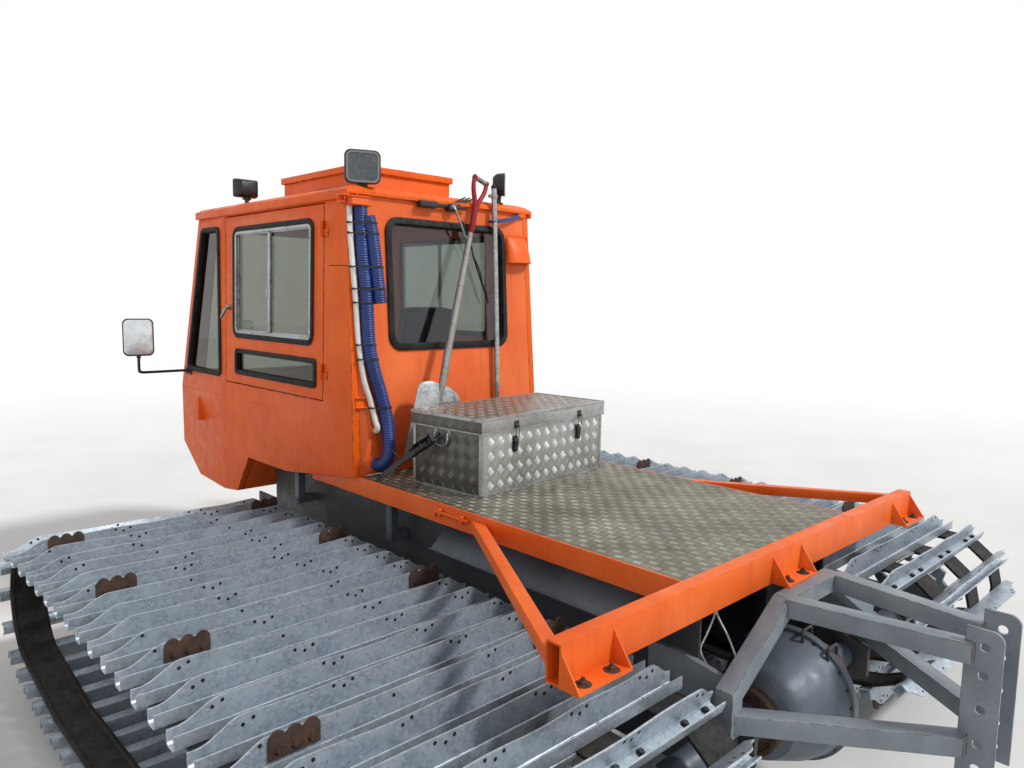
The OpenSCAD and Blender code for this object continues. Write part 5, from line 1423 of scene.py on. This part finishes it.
def pole():
    """Galvanised pole with a rubber foot, a domed cap and a clamp near its top."""
    m = leaning(POLE_FOOT, -0.318, POLE_R)
    way = m.to_3x3().col[2]
    m = m @ at(z=POLE_R * Vector((way.x, way.y)).length + SEAT)
    top = POLE_LENGTH
    tube, black = Shape(), Shape()
    tube.lathe(m, [(0.0155, 0.02), (0.0155, 0.4), (0.0158, 0.402), (0.0158, 0.43), (0.0155, 0.432),
                   (0.0155, top - 0.012)], sides=22)
    black.lathe(m, [(0.0150, 0), (0.0160, 0.004), (0.0160, 0.034), (0.0150, 0.038)], sides=22)
    black.lathe(m, [(0.0160, top - 0.022), (0.0160, top - 0.006), (0.010, top)], sides=22)
    z = top - 0.075
    tube.lathe(m, [(0.0165, z), (0.0190, z + 0.002), (0.0190, z + 0.022), (0.0165, z + 0.024)], sides=22)
    clamp = m @ facing((0.0, 0.0, z + 0.012), (0, 1, 0.0), (1, 0, 0))
    tube.block(clamp @ at(0, 0, 0.026), (0.010, 0.022, 0.020), 0.002)
    tube.bolt(clamp @ at(0.005, 0, 0.027) @ spun(math.pi / 2, "Y"), 0.007, 0.012)
    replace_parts(tube.piece("pole_tube", BARE, slot="galvanised_steel"), "grab_pole")
    black.piece("pole_caps", GASKET, slot="black_plastic")


# Seats and dashboard

CHANNELS = 4
SEAT_Y = 0.290


def power(value, p):
    return math.copysign(abs(value) ** p, value)


def cushion(shape, piping, m, size, crown):
    """Padded block: crowned faces, sides that pull in, and sewn channels along its length."""
    a, b, c = (s / 2 for s in size)
    levels, around = 22, 72
    turns = [math.tau * k / around for k in range(around + 1)]
    edge = [(a * power(math.cos(t), 0.24), b * power(math.sin(t), 0.24)) for t in turns]
    rings = []
    for i in range(levels + 1):
        f = -math.pi / 2 + math.pi * (0.01 + 0.98 * i / levels)
        ring = []
        for x, y in edge[:-1]:
            x, y = power(math.cos(f), 0.28) * x, power(math.cos(f), 0.28) * y
            u, v = x / a, y / b
            z = c * power(math.sin(f), 0.55) + math.sin(f) * crown * (1 - u * u) * (1 - v * v)
            if z > 0:
                z -= 0.006 * max(0, math.cos(math.pi * (u + 1) * CHANNELS)) ** 12 * (1 - abs(v) ** 8)
            pull = 1 - 0.012 * abs(math.sin(math.pi * u)) * (1 - abs(z) / c if abs(z) < c else 0)
            ring.append(m @ Vector((x * pull, y * pull, z)))
        rings.append(ring)
    shape.loft(rings)
    for level in (0.62, -0.62):
        piping.tube([m @ Vector((0.985 * x, 0.985 * y, c * level)) for x, y in edge], 0.0035, 6, False)


def seats():
    bases, piping = Shape(), Shape()
    for side, hand in HANDS:
        middle = side * SEAT_Y
        bases.block(at(1.130, middle, 1.072), (0.440, 0.360, 0.226), 0.012)
        for y in (-0.12, 0.12):
            bases.block(at(1.130, middle + y, 0.966), (0.500, 0.036, 0.014))
        bases.wire([(1.33, side * 0.40, 1.16), (1.40, side * 0.40, 1.16), (1.43, side * 0.38, 1.165)], 0.007, 4)
        pad, back = Shape(), Shape()
        cushion(pad, piping, at(1.140, middle, 1.240), (0.516, 0.416, 0.106), 0.012)
        upright_back = at(0.890, middle, 1.258) @ spun(math.radians(-8), "Y") @ at(0.045, 0, 0.300)
        cushion(back, piping, upright_back @ spun(math.pi / 2, "Y"), (0.555, 0.396, 0.094), 0.010)
        piece = pad.piece(f"seat_cushion_{hand}", VINYL, smooth=60, slot="seat_vinyl")
        if side > 0:
            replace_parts(piece, "seats")
        back.piece(f"seat_back_{hand}", VINYL, smooth=60, slot="seat_vinyl")
    bases.piece("seat_bases", DARK, slot="black_plastic")
    piping.piece("seat_piping", GASKET, slot="seat_vinyl")


# Place across, place up the console's face and radius of each gauge
GAUGES = ((0.300, 0.130, 0.044), (0.190, 0.150, 0.030), (0.405, 0.150, 0.030), (0.190, 0.070, 0.030),
          (0.405, 0.070, 0.030))
DASH_FOOT = Vector((2.040, 0, 1.010))
DASH_UP = Vector((0.060, 0, 0.210)).normalized()


def on_dash(y, t, out=0.0):
    normal = Vector((-DASH_UP.z, 0, DASH_UP.x))
    return facing(DASH_FOOT + Vector((0, y, 0)) + DASH_UP * t + normal * out, normal, (0, -1, 0))


def dashboard():
    """Round gauges, rocker switches and steering levers on the console."""
    rims, dials, marks, sticks = Shape(), Shape(), Shape(), Shape()
    for y, t, r in GAUGES:
        m = on_dash(y, t)
        rims.lathe(m, [(r, 0.0), (r, 0.008), (r * 0.94, 0.011), (r * 0.88, 0.010), (r * 0.86, 0.005)], sides=28)
        dials.lathe(m, [(r * 0.87, 0.0045), (r * 0.87, 0.0055)], sides=28)
        for a in [math.radians(225 - 27 * k) for k in range(11)]:
            tick = m @ at(r * 0.70 * math.cos(a), r * 0.70 * math.sin(a), 0.0058) @ spun(a, "Z")
            marks.block(tick, (r * 0.18, r * 0.045, 0.0006), 0.0001)
        needle = m @ spun(math.radians(150), "Z") @ at(r * 0.28, 0, 0.0068)
        marks.block(needle, (r * 0.72, r * 0.05, 0.0006), 0.0001)
        rims.lathe(m @ at(0, 0, 0.0055), [(r * 0.10, 0), (r * 0.10, 0.003)], sides=12)
    for k in range(8):
        rims.block(on_dash(-0.300 + 0.052 * k, 0.135, 0.003), (0.024, 0.040, 0.008), 0.002)
    for y in (-0.035, 0.035):
        base = at(1.700, y, 1.06)
        sticks.wire([(0, 0, 0), (0.01, 0, 0.12), (-0.03, 0, 0.24)], 0.008, 5, 10, base)
        knob = turned_to(base @ Vector((-0.028, 0, 0.235)), Vector((-0.2, 0, 1)).normalized())
        rims.lathe(knob, [(0.010, 0), (0.017, 0.012), (0.021, 0.032), (0.017, 0.050), (0.008, 0.058)], sides=18)
        rims.lathe(base @ at(z=-0.02), [(0.030, 0), (0.030, 0.012), (0.020, 0.026), (0.012, 0.04)], sides=16)
    rims.piece("dash_trim", DARK, slot="black_plastic")
    dials.piece("dash_dials", GASKET, slot="black_plastic")
    marks.piece("dash_marks", WHITE, slot="grey_plastic")
    sticks.piece("steering_levers", BARE, slot="bare_steel")


# Floor, light and camera

CAMERA_PLACE = (-2.993, 2.682, 1.908)
CAMERA_FORWARD = (0.7161, -0.6891, -0.1115)
CAMERA_RIGHT = (-0.6920, -0.7218, 0.0165)
FOCAL_PX = 770.0
PHOTO_W = 1024.0
SENSOR = 36.0
FLOOR_HALF = 40.0
# Name, strength, spread in degrees and direction
SUNS = (("sun", 2.3, 7, (0.62, 0.34, -0.70)), ("fill", 0.12, 40, (0.3, -0.9, -0.3)))


def linked(name, data):
    made = bpy.data.objects.new(name, data)
    bpy.context.scene.collection.objects.link(made)
    return made


def camera():
    data = bpy.data.cameras.new("photo_camera")
    data.sensor_width = SENSOR
    data.lens = FOCAL_PX / PHOTO_W * SENSOR
    data.clip_start = 0.02
    data.clip_end = 200
    eye = linked("photo_camera", data)
    eye.matrix_world = facing(CAMERA_PLACE, -Vector(CAMERA_FORWARD), CAMERA_RIGHT)
    bpy.context.scene.camera = eye


def floor():
    """Pale floor that fades to white where the camera sees it far off."""
    f = Finish("studio_floor", Roughness=0.85)
    f.give(Base_Color=f.stain(rgb(214, 214, 212), rgb(226, 226, 224), (0.8, 6, 0.6), 0.3, 0.7))
    f.bumps((60, 4, 0.1, 0.001))
    far = f.node("ShaderNodeVectorMath", {0: f.place}, operation="LENGTH").outputs["Value"]
    seen = f.node("ShaderNodeLightPath").outputs["Is Camera Ray"]
    white = f.node("ShaderNodeEmission", {"Color": (1, 1, 1, 1), "Strength": 1.0}).outputs[0]
    share = f.times(f.between(far, 5.0, 13.0), seen)
    blend = f.node("ShaderNodeMixShader", {0: share, 1: f.shader.outputs[0], 2: white})
    f.link(blend.outputs[0], f.tree.nodes["Material Output"].inputs["Surface"])
    h = FLOOR_HALF
    mesh = bpy.data.meshes.new("studio_floor")
    mesh.from_pydata([(-h, -h, 0), (h, -h, 0), (h, h, 0), (-h, h, 0)], [], [(0, 1, 2, 3)])
    mesh.materials.append(f.material)
    ground = linked("studio_floor", mesh)


def light():
    """White surroundings, brighter in what shows and mirrors them than in what they light, and two suns."""
    world = bpy.data.worlds.new("studio")
    bpy.context.scene.world = world
    world.use_nodes = True
    tree = world.node_tree
    background = tree.nodes["Background"]
    path = tree.nodes.new("ShaderNodeLightPath")
    total = path.outputs["Is Camera Ray"]
    for name in ("Is Glossy Ray", "Is Transmission Ray"):
        step = tree.nodes.new("ShaderNodeMath")
        step.operation = "MAXIMUM"
        tree.links.new(total, step.inputs[0])
        tree.links.new(path.outputs[name], step.inputs[1])
        total = step.outputs[0]
    strength = tree.nodes.new("ShaderNodeMapRange")
    strength.inputs["To Min"].default_value = 0.62
    strength.inputs["To Max"].default_value = 1.0
    tree.links.new(total, strength.inputs["Value"])
    tree.links.new(strength.outputs[0], background.inputs["Strength"])
    background.inputs["Color"].default_value = (1, 1, 1, 1)
    for name, energy, spread, way in SUNS:
        data = bpy.data.lights.new(name, "SUN")
        data.energy = energy
        data.angle = math.radians(spread)
        linked(name, data).matrix_world = facing((0, 0, 6), -Vector(way))


camera()
floor()
light()
bpy.context.scene.view_settings.view_transform = "Standard"

for side, hand in HANDS:
    track(side, f"track_{hand}")
    wheels(side, hand)
for side, hand in HANDS:
    side_windows(side, hand)
for fit in (end_windows, hoses, rear_brackets, wiper, strap, side_guards, rail_hook, cab_side_trim, axle_fittings,
            beam_bolts, deck_tread, toolbox, latches, ratchet, work_lamps, mirrors, shovel, pole, seats, dashboard):
    fit()

# Material and width of the rounded edges of each rigid node
BEVELLED = {
    # front_mount takes the darker grey for parts under the deck: painted shade.
    # rear_axle takes a darker copy of the grey paint: painted shade.
    "chassis": (DEEP_GREY, 0.002), "front_mount": (SHADED_UNDER_GREY, 0.003), "rear_axle": (SHADED_HOUSING_GREY, 0.002),
    "sprocket_left": (GREY, 0.002), "sprocket_right": (GREY, 0.002), "deck_frame": (DECK_ORANGE, 0.0025),
    "hitch_frame": (GREY, 0.003), "cab_floor": (CAB_ORANGE, 0.003), "cab_side_left": (CAB_ORANGE, 0.003),
    # cab_rear_wall takes the lighter copy of the cab's orange: painted light.
    "cab_side_right": (CAB_ORANGE, 0.003), "cab_rear_wall": (LIT_REAR_ORANGE, 0.003), "cab_front": (CAB_ORANGE, 0.003),
    "cab_roof": (CAB_ORANGE, 0.005), "roof_hatch": (CAB_ORANGE, 0.003), "toolbox_body": (BOX_TREAD, 0.0012),
    "toolbox_lid": (BOX_TREAD, 0.0012), "console": (DARK, 0.006),
}
for name, (material, width) in BEVELLED.items():
    bevelled_copy(name, [material], width)


LEVER_X = 1.63


def lever(face):
    """1 for the steel handle of a door, which stands clear of the wall near its front edge."""
    place = face.calc_center_median()
    return int(place.x > LEVER_X and abs(place.y) > side_y(place.z) + 0.002)


for _, hand in HANDS:
    bevelled_copy(f"door_{hand}", [CAB_ORANGE, BARE], 0.003, lever)

PLAIN = {
    # road_axles take the darker grey for parts under the deck: painted shade.
    "engine_block": IRON, "road_axles": SHADED_UNDER_GREY, "deck_plate": DECK_TREAD, "deck_plate_front": DECK_TREAD,
    # quarter_windows and the door glass take the dark olive tint: painted shade.
    "windshield": PANE, "rear_window": PANE, "quarter_windows": SHADED_SIDE_PANE, "door_glass_left": SHADED_SIDE_PANE,
    "door_glass_right": SHADED_SIDE_PANE, "seats": VINYL, "shovel": BARE, "grab_pole": ZINC, "work_lamps": DARK,
    "mirrors": DARK, "vent_hose": BLUE, "conduit": WHITE,
}
for name, material in PLAIN.items():
    nodes[name].data.materials.clear()
    nodes[name].data.materials.append(material)
